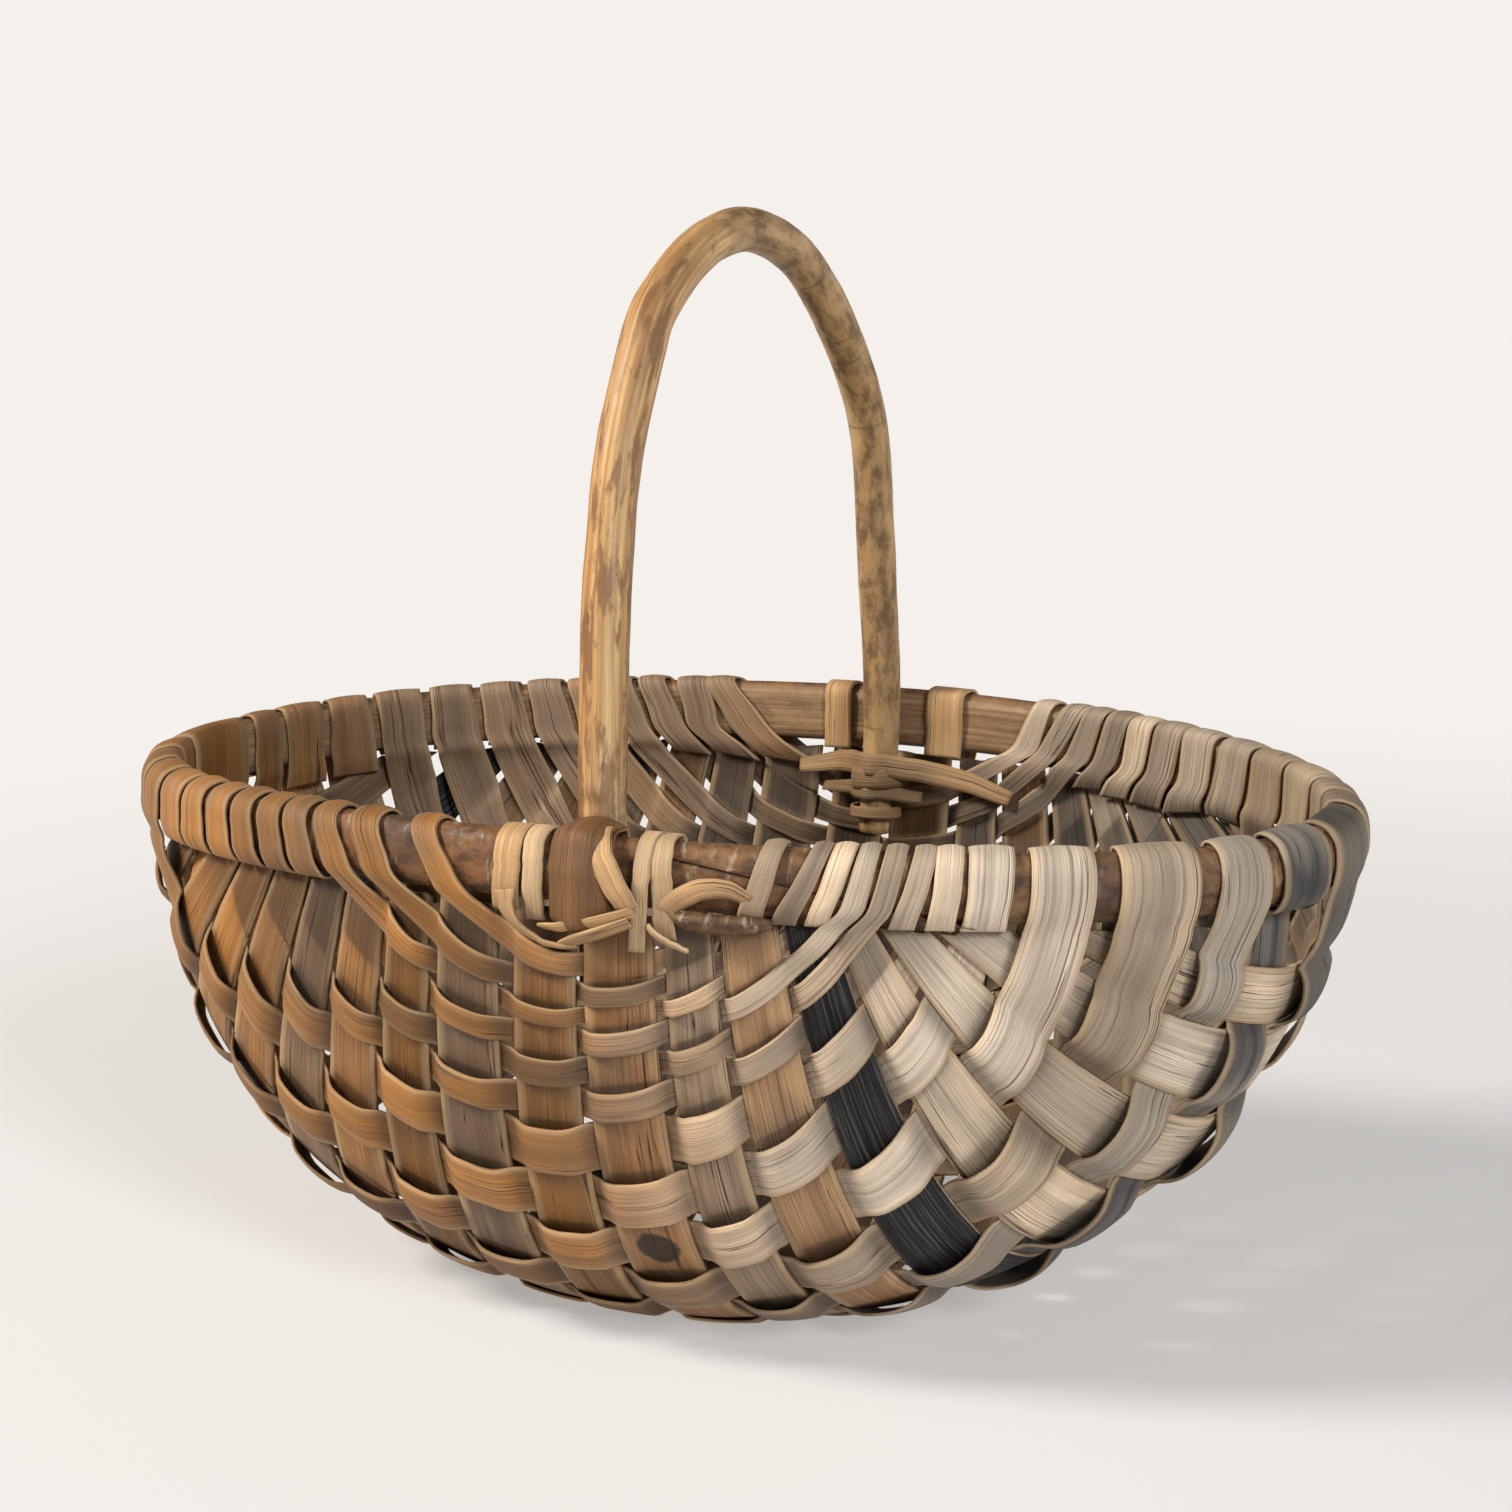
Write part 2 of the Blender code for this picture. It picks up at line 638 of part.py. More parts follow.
BARK = material("rim_bark", (0.19, 0.11, 0.06), 0.8)
ROD = material("peeled_rod", (0.46, 0.27, 0.11), 0.6)
RIB_TAN = material("rib_tan", (0.36, 0.22, 0.12), 0.75)
RIB_GREY = material("rib_grey", (0.24, 0.18, 0.13), 0.8)
RIB_BLACK = material("rib_black", (0.03, 0.03, 0.03), 0.85)
SPLINT_GOLD = material("splint_gold", (0.47, 0.29, 0.14), 0.7)
SPLINT_PALE = material("splint_pale", (0.50, 0.37, 0.25), 0.7)
BINDING = material("binding_splint", (0.42, 0.28, 0.16), 0.7)

FRONT_PLANES = rib_stations(FRONT_ROWS, CENTRE_FRONT, -1)
BACK_PLANES = rib_stations(BACK_ROWS, CENTRE_BACK, 1)
BLACK_RIBS = (12,)
GREY_RIBS = (7, 10, 13, 15)
for number in range(len(RIBS)):
    rib_slot = RIB_TAN
    if number in GREY_RIBS:
        rib_slot = RIB_GREY
    if number in BLACK_RIBS:
        rib_slot = RIB_BLACK
    build_rib(number, FRONT_PLANES + BACK_PLANES[::-1], rib_slot)

for number in range(len(FRONT_ROWS)):
    row = FRONT_ROWS[number]
    near = row_plane(row[0], row[2], row[4], -1)
    far = row_plane(row[1], row[3], row[5], -1)
    across = 3 if number >= WIDE_ROW else 2
    build_weaver(f"weaver_front_{number + 1:02d}", near, far, number, across, SPLINT_GOLD)
for number in range(len(BACK_ROWS)):
    row = BACK_ROWS[number]
    near = row_plane(row[0], row[2], row[4], 1)
    far = row_plane(row[1], row[3], row[5], 1)
    across = 3 if number >= WIDE_ROW else 2
    build_weaver(f"weaver_back_{number + 1:02d}", near, far, number, across, SPLINT_PALE)
FRONT_EDGE = row_plane(*CENTRE_FRONT, -1)
BACK_EDGE = row_plane(*CENTRE_BACK, 1)
build_weaver("weaver_centre", FRONT_EDGE, BACK_EDGE, len(FRONT_ROWS), 5, SPLINT_GOLD)

build_rim(BARK)
build_handle(ROD)

band("front_wrap_a", -14.6, -4.6, False, 0.0006, (0.015, 0.014), 0.0, 0.0010, BINDING)
band("front_wrap_b", -3.6, 4.8, False, 0.0006, (0.018, 0.014), 0.0, 0.0010, BINDING)
band("front_knob", 9.0, 28.0, False, 0.0018, (0.017, 0.012), 0.0, 0.0014, BINDING)
band("front_strap", 31.4, 36.4, False, 0.0010, (0.017, 0.012), -0.6, 0.0010, BINDING)
band("front_tail_a", 38.6, 44.4, False, 0.0010, (0.024, 0.012), 0.3, 0.0010, BINDING)
band("front_tail_b", 46.4, 52.6, False, 0.0010, (0.026, 0.012), -0.3, 0.0010, BINDING)
band("back_wrap_left", -14.0, -2.0, True, 0.0006, (0.018, 0.014), 0.0, 0.0010, BINDING)
band("back_wrap_right", 33.0, 50.0, True, 0.0006, (0.018, 0.014), 0.0, 0.0010, BINDING)
TIE_POINTS = [(54.5, 9.2, -6.0), (62.0, 9.4, -1.5), (68.0, 9.4, -0.5), (73.0, 9.2, -1.5)]
lacing("front_tie", TIE_POINTS, 5.0, False, WEAVER_THICK, BINDING)
ring_round_leg("back_ring_upper", True, 0.022, 0.009, 0.0098, BINDING)
ring_round_leg("back_ring_lower", True, 0.037, 0.005, 0.0092, BINDING)
ring_round_leg("front_ring", False, 0.024, 0.009, 0.0108, BINDING)

centre_parts()
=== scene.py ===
"""Looks of the oval splint basket: every splint, rib, rod and binding at full detail, lit and framed."""

import math
import bpy
import numpy as np
from mathutils import Matrix, Vector


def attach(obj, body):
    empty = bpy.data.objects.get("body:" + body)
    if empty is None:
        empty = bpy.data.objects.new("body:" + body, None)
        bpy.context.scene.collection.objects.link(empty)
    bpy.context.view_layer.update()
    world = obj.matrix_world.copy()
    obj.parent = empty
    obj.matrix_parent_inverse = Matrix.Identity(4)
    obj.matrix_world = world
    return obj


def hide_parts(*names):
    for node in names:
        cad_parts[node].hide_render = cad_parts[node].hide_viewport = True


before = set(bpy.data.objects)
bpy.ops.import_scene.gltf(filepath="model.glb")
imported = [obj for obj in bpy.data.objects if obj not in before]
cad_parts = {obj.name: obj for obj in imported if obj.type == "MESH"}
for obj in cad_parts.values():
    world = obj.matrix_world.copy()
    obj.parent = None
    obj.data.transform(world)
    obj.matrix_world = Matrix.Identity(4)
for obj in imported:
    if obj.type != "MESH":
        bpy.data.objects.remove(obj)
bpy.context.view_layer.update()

# The bowl, as in the CAD model, in metres. The tables are in millimetres of arc: ribs by middle and
# half width at the rim and underneath, rows by left rim, right rim and middle of the bowl.
HALF_LONG, HALF_WIDE, DEEP, BULGE = 0.2400, 0.1352, 0.2050, 2.12
LEAN_X, LEAN_Y, RIM_SAG = -0.0175, -0.0094, -0.0072
FLAT_CUT, FLAT_EASE = 0.0080, 0.0030
WAVE, WEAVER_THICK, RIB_THICK, RIB_TOP = 0.0027, 0.0010, 0.0020, 0.0150
RIM_Z = DEEP - FLAT_CUT + WAVE + WEAVER_THICK / 2
RIM_HALF_TALL, RIM_OUT, RIM_IN = 0.0120, 0.0075, 0.0055
SHIFT = np.array([0.000270, 0.001353, -0.000025])
RIBS = [
    (-178, 9.0, -302, 11.0), (-146, 8.5, -266, 16.5), (-127, 8.0, -227, 16.5), (-109, 8.0, -187, 16.0),
    (-91, 8.0, -147, 15.5), (-73, 8.5, -108, 14.5), (-54, 8.5, -71, 13.5), (-29, 12.0, -36, 15.0),
    (2, 11.5, 0, 14.0), (29, 12.5, 36, 15.0), (54, 8.0, 71, 12.5), (74, 9.5, 106, 14.5),
    (93, 7.0, 145, 16.0), (105, 5.0, 190, 17.0), (117.5, 6.0, 232, 16.0), (134, 9.5, 272, 15.0),
    (166, 13.0, 302, 11.0),
]
EDGE, CENTRE_RIB = 0.38, 8
FRONT_ROWS = [
    (33.0, 45.0, 77.5, 86.0, 26.5, 36.5), (60.0, 74.0, 91.5, 99.5, 39.5, 48.0),
    (80.0, 93.0, 101.0, 109.0, 49.5, 57.0), (97.0, 110.0, 110.2, 118.0, 58.5, 68.5),
    (113.0, 126.0, 119.2, 127.0, 70.0, 81.5), (129.0, 142.0, 128.3, 136.5, 83.0, 96.0),
    (145.0, 160.0, 138.0, 147.5, 98.0, 119.5), (163.0, 180.0, 149.0, 164.0, 122.0, 145.0),
    (183.0, 203.0, 169.0, 191.0, 147.5, 172.0), (206.0, 228.0, 198.0, 226.0, 174.5, 199.0),
    (231.0, 255.0, 232.0, 252.0, 201.5, 225.0), (258.0, 275.5, 256.0, 279.0, 227.5, 251.0),
]
BACK_ROWS = [
    (45.0, 62.0, 77.0, 88.5, 27.0, 38.0), (64.0, 79.0, 90.0, 101.5, 39.5, 49.0),
    (81.0, 95.0, 103.0, 114.5, 50.5, 60.0), (97.0, 111.0, 116.0, 127.5, 61.5, 72.0),
    (113.0, 128.0, 129.0, 141.0, 73.5, 85.0), (130.0, 147.0, 142.5, 157.0, 87.0, 103.0),
    (149.0, 169.0, 158.5, 176.0, 105.0, 125.0), (171.0, 192.0, 178.0, 197.0, 127.5, 149.0),
    (194.5, 215.0, 199.0, 221.0, 151.5, 174.0), (217.5, 238.0, 223.0, 246.0, 176.5, 200.0),
    (240.5, 259.0, 248.5, 264.0, 202.5, 225.5), (261.5, 276.0, 266.5, 283.0, 228.0, 251.0),
]
CENTRE_FRONT, CENTRE_BACK = (278.5, 282.0, 253.5), (279.0, 285.5, 253.5)
HANDLE_X, HANDLE_RADIUS_FRONT, HANDLE_RADIUS_BACK, HANDLE_TIP_RADIUS = 0.0155, 0.0088, 0.0076, 0.0062
HANDLE_BELOW, HANDLE_FACET, FACET_TOP = 0.0460, 0.0065, 0.0220
HANDLE_BENDS = [
    (-120, -30), (-120, 0), (-119, 34), (-109, 96), (-96, 142), (-81, 169), (-65, 187), (-36, 202), (5, 208),
    (46, 197), (75, 174), (103, 143), (114, 115), (119, 60), (120, 0), (120, -30),
]
MM = 0.001
HALVINGS = 30
BASE_FADE_FROM, FLOOR_GAP = 0.165, 0.0001
TOP_BEND, LOW_BEND, LOW_BEND_FROM, MID_BEND_FROM = 0.0135, 0.0205, 0.026, 0.038
SCARF_START, SCARF_OVERLAP = 0.20, 5 * 2 * math.pi / 67
SCARF_HIGH, SCARF_DROP, SCARF_GAP = 0.0090, 0.0210, 0.0006
KNOT_AT, FOLDS_AT = 0.405, 0.655

# ---- the net of the weave


def curve_table(points):
    steps = np.linalg.norm(np.diff(points, axis=0), axis=1)
    return np.concatenate([[0.0], np.cumsum(steps)])


TURN = np.linspace(0.0, math.pi / 2, 2001)
RIM_ARC = curve_table(np.stack([HALF_LONG * np.sin(TURN), HALF_WIDE * np.cos(TURN)], 1))
SIN_P = np.sin(TURN) ** (2 / BULGE)
COS_P = np.clip(np.cos(TURN), 0.0, 1.0) ** (2 / BULGE)
LONG_ARC = curve_table(np.stack([HALF_LONG * SIN_P, DEEP * COS_P], 1))
SHORT_ARC = curve_table(np.stack([HALF_WIDE * COS_P, DEEP * SIN_P], 1))
RIM_QUARTER = RIM_ARC[-1]


def rim_turn(arc):
    arc = np.asarray(arc, float)
    whole = np.abs(arc)
    near = np.interp(np.minimum(whole, RIM_QUARTER), RIM_ARC, TURN)
    far = math.pi - np.interp(np.maximum(2 * RIM_QUARTER - whole, 0.0), RIM_ARC, TURN)
    return np.sign(arc) * np.where(whole <= RIM_QUARTER, near, far)


def rim_frame(turn):
    turn = np.asarray(turn, float)
    point = np.stack([HALF_LONG * np.sin(turn), -HALF_WIDE * np.cos(turn)], -1)
    normal = np.stack([np.sin(turn) / HALF_LONG, -np.cos(turn) / HALF_WIDE], -1)
    return point, normal / np.linalg.norm(normal, axis=-1, keepdims=True)


RIB_V = [n - CENTRE_RIB + side * EDGE for n in range(len(RIBS)) for side in (-1, 1)]
RIB_RIM = [(rib[0] + side * rib[1]) * MM for rib in RIBS for side in (-1, 1)]
RIB_LONG = [(rib[2] + side * rib[3]) * MM for rib in RIBS for side in (-1, 1)]


def rib_line(v):
    rim_x = HALF_LONG * np.sin(rim_turn(np.interp(v, RIB_V, RIB_RIM)))
    arc = np.interp(v, RIB_V, RIB_LONG)
    turn = np.interp(np.abs(arc), LONG_ARC, TURN)
    low_x = np.sign(arc) * HALF_LONG * np.sin(turn) ** (2 / BULGE)
    low_d = DEEP * np.cos(turn) ** (2 / BULGE)
    return rim_x, (low_x - rim_x) / low_d


def row_plane(left, right, short, side):
    left_p = rim_frame(-rim_turn(left * MM))[0]
    right_p = rim_frame(rim_turn(right * MM))[0]
    slope = (right_p[1] - left_p[1]) / (right_p[0] - left_p[0])
    start = left_p[1] - slope * left_p[0]
    turn = np.interp(short * MM, SHORT_ARC, TURN)
    mid_y = -HALF_WIDE * np.cos(turn) ** (2 / BULGE)
    mid_d = DEEP * np.sin(turn) ** (2 / BULGE)
    return np.array([start, slope, (mid_y - start) / mid_d]) * -side


def meet(plane, v):
    """Points (x, y, depth) where row planes (..., 3) and rib planes meet the bowl."""
    rim_x, lean = rib_line(np.asarray(v, float))
    shape = np.broadcast(plane[..., 0], rim_x).shape
    low = np.zeros(shape)
    high = np.full(shape, DEEP)
    for _ in range(HALVINGS):
        depth = (low + high) / 2
        x = rim_x + lean * depth
        y = plane[..., 0] + plane[..., 1] * x + plane[..., 2] * depth
        inside = ((x / HALF_LONG) ** 2 + (y / HALF_WIDE) ** 2) ** (BULGE / 2) + (depth / DEEP) ** BULGE < 1
        low = np.where(inside, depth, low)
        high = np.where(inside, high, depth)
    x = rim_x + lean * low
    return np.stack([x, plane[..., 0] + plane[..., 1] * x + plane[..., 2] * low, low], -1)


def at_depth(plane, depth, end):
    """Points of row planes (..., 3) on the bowl at a depth, at their left (-1) or right (+1) end."""
    ring = (1 - (depth / DEEP) ** BULGE) ** (2 / BULGE)
    y0 = plane[..., 0] + plane[..., 2] * depth
    a = 1 / HALF_LONG**2 + plane[..., 1] ** 2 / HALF_WIDE**2
    b = 2 * plane[..., 1] * y0 / HALF_WIDE**2
    c = y0**2 / HALF_WIDE**2 - ring
    x = (-b + end * np.sqrt(np.maximum(b * b - 4 * a * c, 0))) / (2 * a)
    return np.stack([x, y0 + plane[..., 1] * x, np.broadcast_to(depth, x.shape)], -1)


def place(point, lift):
    x, y, depth = point[..., 0], point[..., 1], point[..., 2]
    ring = (x / HALF_LONG) ** 2 + (y / HALF_WIDE) ** 2 + 1e-12
    push = ring ** (BULGE / 2 - 1)
    start = DEEP - FLAT_CUT - FLAT_EASE
    over = np.clip(depth - start, 0, 2 * FLAT_EASE)
    shown = np.minimum(depth, start + 2 * FLAT_EASE) - over**2 / (4 * FLAT_EASE)
    ease = 1 - over / (2 * FLAT_EASE)
    normal_x = push * x / HALF_LONG**2 * ease
    normal_y = push * y / HALF_WIDE**2 * ease
    normal_z = -((np.maximum(depth, 0) / DEEP) ** (BULGE - 1)) / DEEP
    normal_z = normal_z + (LEAN_X * normal_x + LEAN_Y * normal_y) / DEEP
    normal = np.stack([normal_x, normal_y, normal_z], -1)
    normal = normal / np.linalg.norm(normal, axis=-1, keepdims=True)
    share = np.clip(depth / DEEP, 0, 1)
    world_z = RIM_Z - shown + RIM_SAG * (x / HALF_LONG) ** 2 * (1 - share)
    base = np.stack([x + LEAN_X * share, y + LEAN_Y * share, world_z], -1)
    return base + normal * np.asarray(lift)[..., None] + SHIFT


def beside_rim(turn, out, up):
    point, normal = rim_frame(turn)
    flat = point + normal * np.asarray(out)[..., None]
    share = np.clip(-np.asarray(up) / DEEP, 0, 1)
    x = flat[..., 0] + LEAN_X * share
    y = flat[..., 1] + LEAN_Y * share
    z = RIM_Z + up + RIM_SAG * (flat[..., 0] / HALF_LONG) ** 2 * (1 - share)
    return np.stack([x, y, z], -1) + SHIFT


# ---- helpers


def wander(seed, t, rate):
    """Smooth wandering value between about -1 and 1 along t."""
    rng = np.random.default_rng(seed)
    value = np.zeros_like(np.asarray(t, float))
    for octave in range(4):
        value = value + np.sin(t * rate * (1.0 + 0.83 * octave) + rng.uniform(0, 6.283)) * (0.62**octave)
    return value / 2.0


def smooth_rows(ctrl, per):
    """Catmull-Rom rows through control rows (n, across, 3)."""
    ctrl = np.asarray(ctrl)
    count = len(ctrl)
    rows = []
    for i in range(count - 1):
        p0, p1, p2, p3 = ctrl[max(i - 1, 0)], ctrl[i], ctrl[i + 1], ctrl[min(i + 2, count - 1)]
        for k in range(per):
            t = k / per
            rows.append(
                0.5 * (2 * p1 + (p2 - p0) * t + (2 * p0 - 5 * p1 + 4 * p2 - p3) * t * t
                       + (3 * p1 - p0 - 3 * p2 + p3) * t**3)
            )
    rows.append(ctrl[-1])
    return np.asarray(rows)


def linear(colour):
    value = np.asarray(colour, float) / 255.0
    return np.where(value <= 0.04045, value / 12.92, ((value + 0.055) / 1.055) ** 2.4)


def grid_mesh(name, rows, tints, seed, closed=False, extra=None):
    """Mesh of a grid (n, m, 3), with length and width in metres as UV and a colour for each point."""
    rows = np.asarray(rows)
    n, m = rows.shape[:2]
    index = np.arange(n * m).reshape(n, m)
    if closed:
        nxt = np.roll(index, -1, axis=1)
        quads = np.stack([index[:-1], index[1:], nxt[1:], nxt[:-1]], -1).reshape(-1, 4)
    else:
        quads = np.stack([index[:-1, :-1], index[1:, :-1], index[1:, 1:], index[:-1, 1:]], -1).reshape(-1, 4)
    mesh = bpy.data.meshes.new(name)
    faces = [tuple(int(i) for i in quad) for quad in quads]
    if closed:
        faces.append(tuple(int(i) for i in index[0]))
        faces.append(tuple(int(i) for i in index[-1][::-1]))
    mesh.from_pydata([tuple(p) for p in rows.reshape(-1, 3)], [], faces)
    middle = rows[:, m // 2] if not closed else rows.mean(axis=1)
    along = curve_table(middle)
    rng = np.random.default_rng(seed)
    start_u, start_v = rng.uniform(0, 7), rng.uniform(0, 3)
    if closed:
        width = np.linalg.norm(np.diff(np.concatenate([rows[n // 2], rows[n // 2][:1]]), axis=0), axis=1).sum()
    else:
        width = np.median(np.linalg.norm(np.diff(rows, axis=1), axis=2).sum(axis=1))
    layer = mesh.uv_layers.new(name="UVMap")
    loops = np.empty(len(mesh.loops), np.int64)
    mesh.loops.foreach_get("vertex_index", loops)
    i, j = loops // m, loops % m
    across = j / (m if closed else m - 1) * width
    if closed:
        seam = np.arange(m - 1, (n - 1) * m, m) * 4
        across[np.concatenate([seam + 2, seam + 3])] = width
    uv = np.stack([along[i] + start_u, across + start_v], 1)
    layer.data.foreach_set("uv", uv.astype(np.float32).ravel())
    colour = mesh.color_attributes.new(name="tint", type="FLOAT_COLOR", domain="POINT")
    full = np.ones((n * m, 4), np.float32)
    full[:, :3] = np.broadcast_to(tints, (n, m, 3)).reshape(-1, 3)
    colour.data.foreach_set("color", full.ravel())
    edge = mesh.attributes.new(name="mark", type="FLOAT", domain="POINT")
    marks = np.zeros((n, m)) if extra is None else np.broadcast_to(extra, (n, m))
    edge.data.foreach_set("value", marks.astype(np.float32).ravel())
    mesh.polygons.foreach_set("use_smooth", np.ones(len(mesh.polygons), bool))
    mesh.update()
    return mesh


def add_piece(name, mesh, materials, nodes, thick=None):
    obj = bpy.data.objects.new(name, mesh)
    for made in materials:
        mesh.materials.append(made)
    LOOKS.objects.link(obj)
    if thick:
        solid = obj.modifiers.new("Thickness", "SOLIDIFY")
        solid.thickness = thick
        solid.offset = 0
        solid.material_offset_rim = 1 if len(materials) > 1 else 0
    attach(obj, "root")
    if nodes:
        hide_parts(*nodes)
    return obj


# ---- materials


class Graph:
    """Short calls for building a node material."""

    def __init__(self, name):
        self.material = bpy.data.materials.new(name)
        self.material.use_nodes = True
        self.tree = self.material.node_tree
        self.shader = self.tree.nodes["Principled BSDF"]

    def node(self, kind, **settings):
        made = self.tree.nodes.new(kind)
        for key, value in settings.items():
            setattr(made, key, value)
        return made

    def link(self, out, into):
        self.tree.links.new(out, into)

    def value(self, operation, a, b=0.0, c=0.0):
        made = self.node("ShaderNodeMath", operation=operation)
        for position, item in enumerate((a, b, c)):
            if isinstance(item, (int, float)):
                made.inputs[position].default_value = item
            else:
                self.link(item, made.inputs[position])
        return made.outputs[0]

    def grain(self, along, across, detail=3.0, rough=0.55, scale=1.0):
        """Noise stretched along a strip: along and across are cells per metre."""
        uv = self.node("ShaderNodeUVMap", uv_map="UVMap")
        scaled = self.node("ShaderNodeVectorMath", operation="MULTIPLY")
        self.link(uv.outputs["UV"], scaled.inputs[0])
        scaled.inputs[1].default_value = (along, across, 1.0)
        noise = self.node("ShaderNodeTexNoise")
        noise.inputs["Scale"].default_value = scale
        noise.inputs["Detail"].default_value = detail
        noise.inputs["Roughness"].default_value = rough
        self.link(scaled.outputs[0], noise.inputs["Vector"])
        return noise.outputs["Fac"]

    def cloud(self, scale, detail=3.0, offset=0.0):
        """Noise in space."""
        place_at = self.node("ShaderNodeNewGeometry")
        moved = self.node("ShaderNodeVectorMath", operation="ADD")
        self.link(place_at.outputs["Position"], moved.inputs[0])
        moved.inputs[1].default_value = (offset, offset, offset)
        noise = self.node("ShaderNodeTexNoise")
        noise.inputs["Scale"].default_value = scale
        noise.inputs["Detail"].default_value = detail
        self.link(moved.outputs[0], noise.inputs["Vector"])
        return noise.outputs["Fac"]

    def ramp(self, value, low, high, start=0.0, stop=1.0):
        made = self.node("ShaderNodeMapRange", interpolation_type="SMOOTHSTEP")
        self.link(value, made.inputs["Value"])
        made.inputs["From Min"].default_value = low
        made.inputs["From Max"].default_value = high
        made.inputs["To Min"].default_value = start
        made.inputs["To Max"].default_value = stop
        return made.outputs["Result"]

    def mix(self, share, first, second, blend="MIX"):
        made = self.node("ShaderNodeMix", data_type="RGBA", blend_type=blend)
        if isinstance(share, (int, float)):
            made.inputs["Factor"].default_value = share
        else:
            self.link(share, made.inputs["Factor"])
        for socket, item in (("A", first), ("B", second)):
            target = [s for s in made.inputs if s.name == socket and s.type == "RGBA"][0]
            if isinstance(item, tuple):
                target.default_value = (*item, 1.0)
            else:
                self.link(item, target)
        return [s for s in made.outputs if s.type == "RGBA"][0]

    def grey(self, value):
        made = self.node("ShaderNodeCombineColor")
        for name in ("Red", "Green", "Blue"):
            self.link(value, made.inputs[name])
        return made.outputs[0]

    def oval(self, centre, across, tall):
        """1 at the middle of an oval in space, 0 outside it, with an uneven edge."""
        place_at = self.node("ShaderNodeNewGeometry")
        moved = self.node("ShaderNodeVectorMath", operation="SUBTRACT")
        self.link(place_at.outputs["Position"], moved.inputs[0])
        moved.inputs[1].default_value = tuple(centre)
        scaled = self.node("ShaderNodeVectorMath", operation="DIVIDE")
        self.link(moved.outputs[0], scaled.inputs[0])
        scaled.inputs[1].default_value = (across, across, tall)
        far = self.node("ShaderNodeVectorMath", operation="LENGTH")
        self.link(scaled.outputs[0], far.inputs[0])
        uneven = self.value("ADD", far.outputs["Value"], self.value("MULTIPLY", self.cloud(150.0, 3.0), 0.5))
        return self.ramp(uneven, 1.10, 1.36, 1.0, 0.0)

    def tint(self):
        return self.node("ShaderNodeAttribute", attribute_name="tint").outputs["Color"]

    def mark(self):
        return self.node("ShaderNodeAttribute", attribute_name="mark").outputs["Fac"]

    def finish(self, colour, roughness, height, distance=0.0004, strength=0.8, specular=0.35):
        self.link(colour, self.shader.inputs["Base Color"])
        if isinstance(roughness, (int, float)):
            self.shader.inputs["Roughness"].default_value = roughness
        else:
            self.link(roughness, self.shader.inputs["Roughness"])
        self.shader.inputs["Specular IOR Level"].default_value = specular
        bump = self.node("ShaderNodeBump")
        bump.inputs["Strength"].default_value = strength
        bump.inputs["Distance"].default_value = distance
        self.link(height, bump.inputs["Height"])
        self.link(bump.outputs["Normal"], self.shader.inputs["Normal"])
        return self.material


def split_wood(name, streak_dark, grey_share, crack_share, specular=0.35, scorch=None):
    """Split wood: fine fibres, darker streaks, grey weathering and hairline cracks along the grain, and paler long
    edges that are partly the wood's own colour and partly a painted highlight.
    """
    g = Graph(name)
    fibre = g.grain(16.0, 1700.0, 3.0)
    fine = g.grain(50.0, 4200.0, 1.0)
    streak = g.grain(6.0, 640.0, 4.0, 0.60)
    where = g.grain(17.0, 75.0, 2.0)
    broad = g.grain(5.0, 130.0, 2.0)
    crack = g.grain(7.0, 420.0, 2.0, 0.45)
    blotch = g.cloud(24.0, 4.0)
    patch = g.cloud(11.0, 2.0, 3.7)
    shade = g.value("ADD", g.ramp(fibre, 0.30, 0.70, 0.80, 1.14), g.ramp(fine, 0.3, 0.7, -0.08, 0.08))
    shade = g.value("MULTIPLY", shade, g.ramp(broad, 0.30, 0.70, 0.80, 1.22))
    colour = g.mix(1.0, g.tint(), g.grey(shade), "MULTIPLY")
    # Paler towards the long edges (mark): partly the split wood's own pale edge, partly a painted highlight along the
    # edges.
    colour = g.mix(g.value("MULTIPLY", g.mark(), 0.50), colour, (0.60, 0.41, 0.22))
    patched = g.value("MULTIPLY", g.ramp(streak, 0.54, 0.66, 0.0, streak_dark), g.ramp(where, 0.40, 0.62, 0.25, 1.0))
    colour = g.mix(patched, colour, (0.085, 0.045, 0.020))
    colour = g.mix(g.ramp(blotch, 0.50, 0.72, 0.0, grey_share), colour, (0.15, 0.125, 0.105))
    colour = g.mix(g.ramp(patch, 0.50, 0.70, 0.0, 0.40), colour, (0.085, 0.048, 0.022))
    line = g.value("SUBTRACT", 1.0, g.ramp(g.value("ABSOLUTE", g.value("SUBTRACT", crack, 0.5)), 0.0, 0.020))
    gate = g.value("MULTIPLY", line, g.ramp(broad, 0.50, 0.62, 0.0, crack_share))
    colour = g.mix(gate, colour, (0.018, 0.010, 0.006))
    if scorch is not None:
        colour = g.mix(g.value("MULTIPLY", g.oval(scorch, 0.0085, 0.0085), 0.9), colour, (0.014, 0.009, 0.006))
    height = g.value("SUBTRACT", g.value("ADD", fibre, g.value("MULTIPLY", streak, 0.8)), gate)
    return g.finish(colour, g.ramp(fibre, 0.2, 0.8, 0.72, 0.50), height, 0.0006, 0.9, specular)


def cut_edge():
    """The pale split side of a splint."""
    g = Graph("splint_edge")
    fibre = g.grain(30.0, 1800.0, 2.0)
    dirt = g.cloud(40.0, 3.0, 1.3)
    colour = g.mix(0.45, g.tint(), (0.55, 0.38, 0.22))
    colour = g.mix(1.0, colour, g.grey(g.ramp(fibre, 0.2, 0.8, 0.60, 1.15)), "MULTIPLY")
    colour = g.mix(g.ramp(dirt, 0.45, 0.7, 0.0, 0.6), colour, (0.060, 0.036, 0.020))
    return g.finish(colour, 0.8, fibre, 0.0003, 0.6)


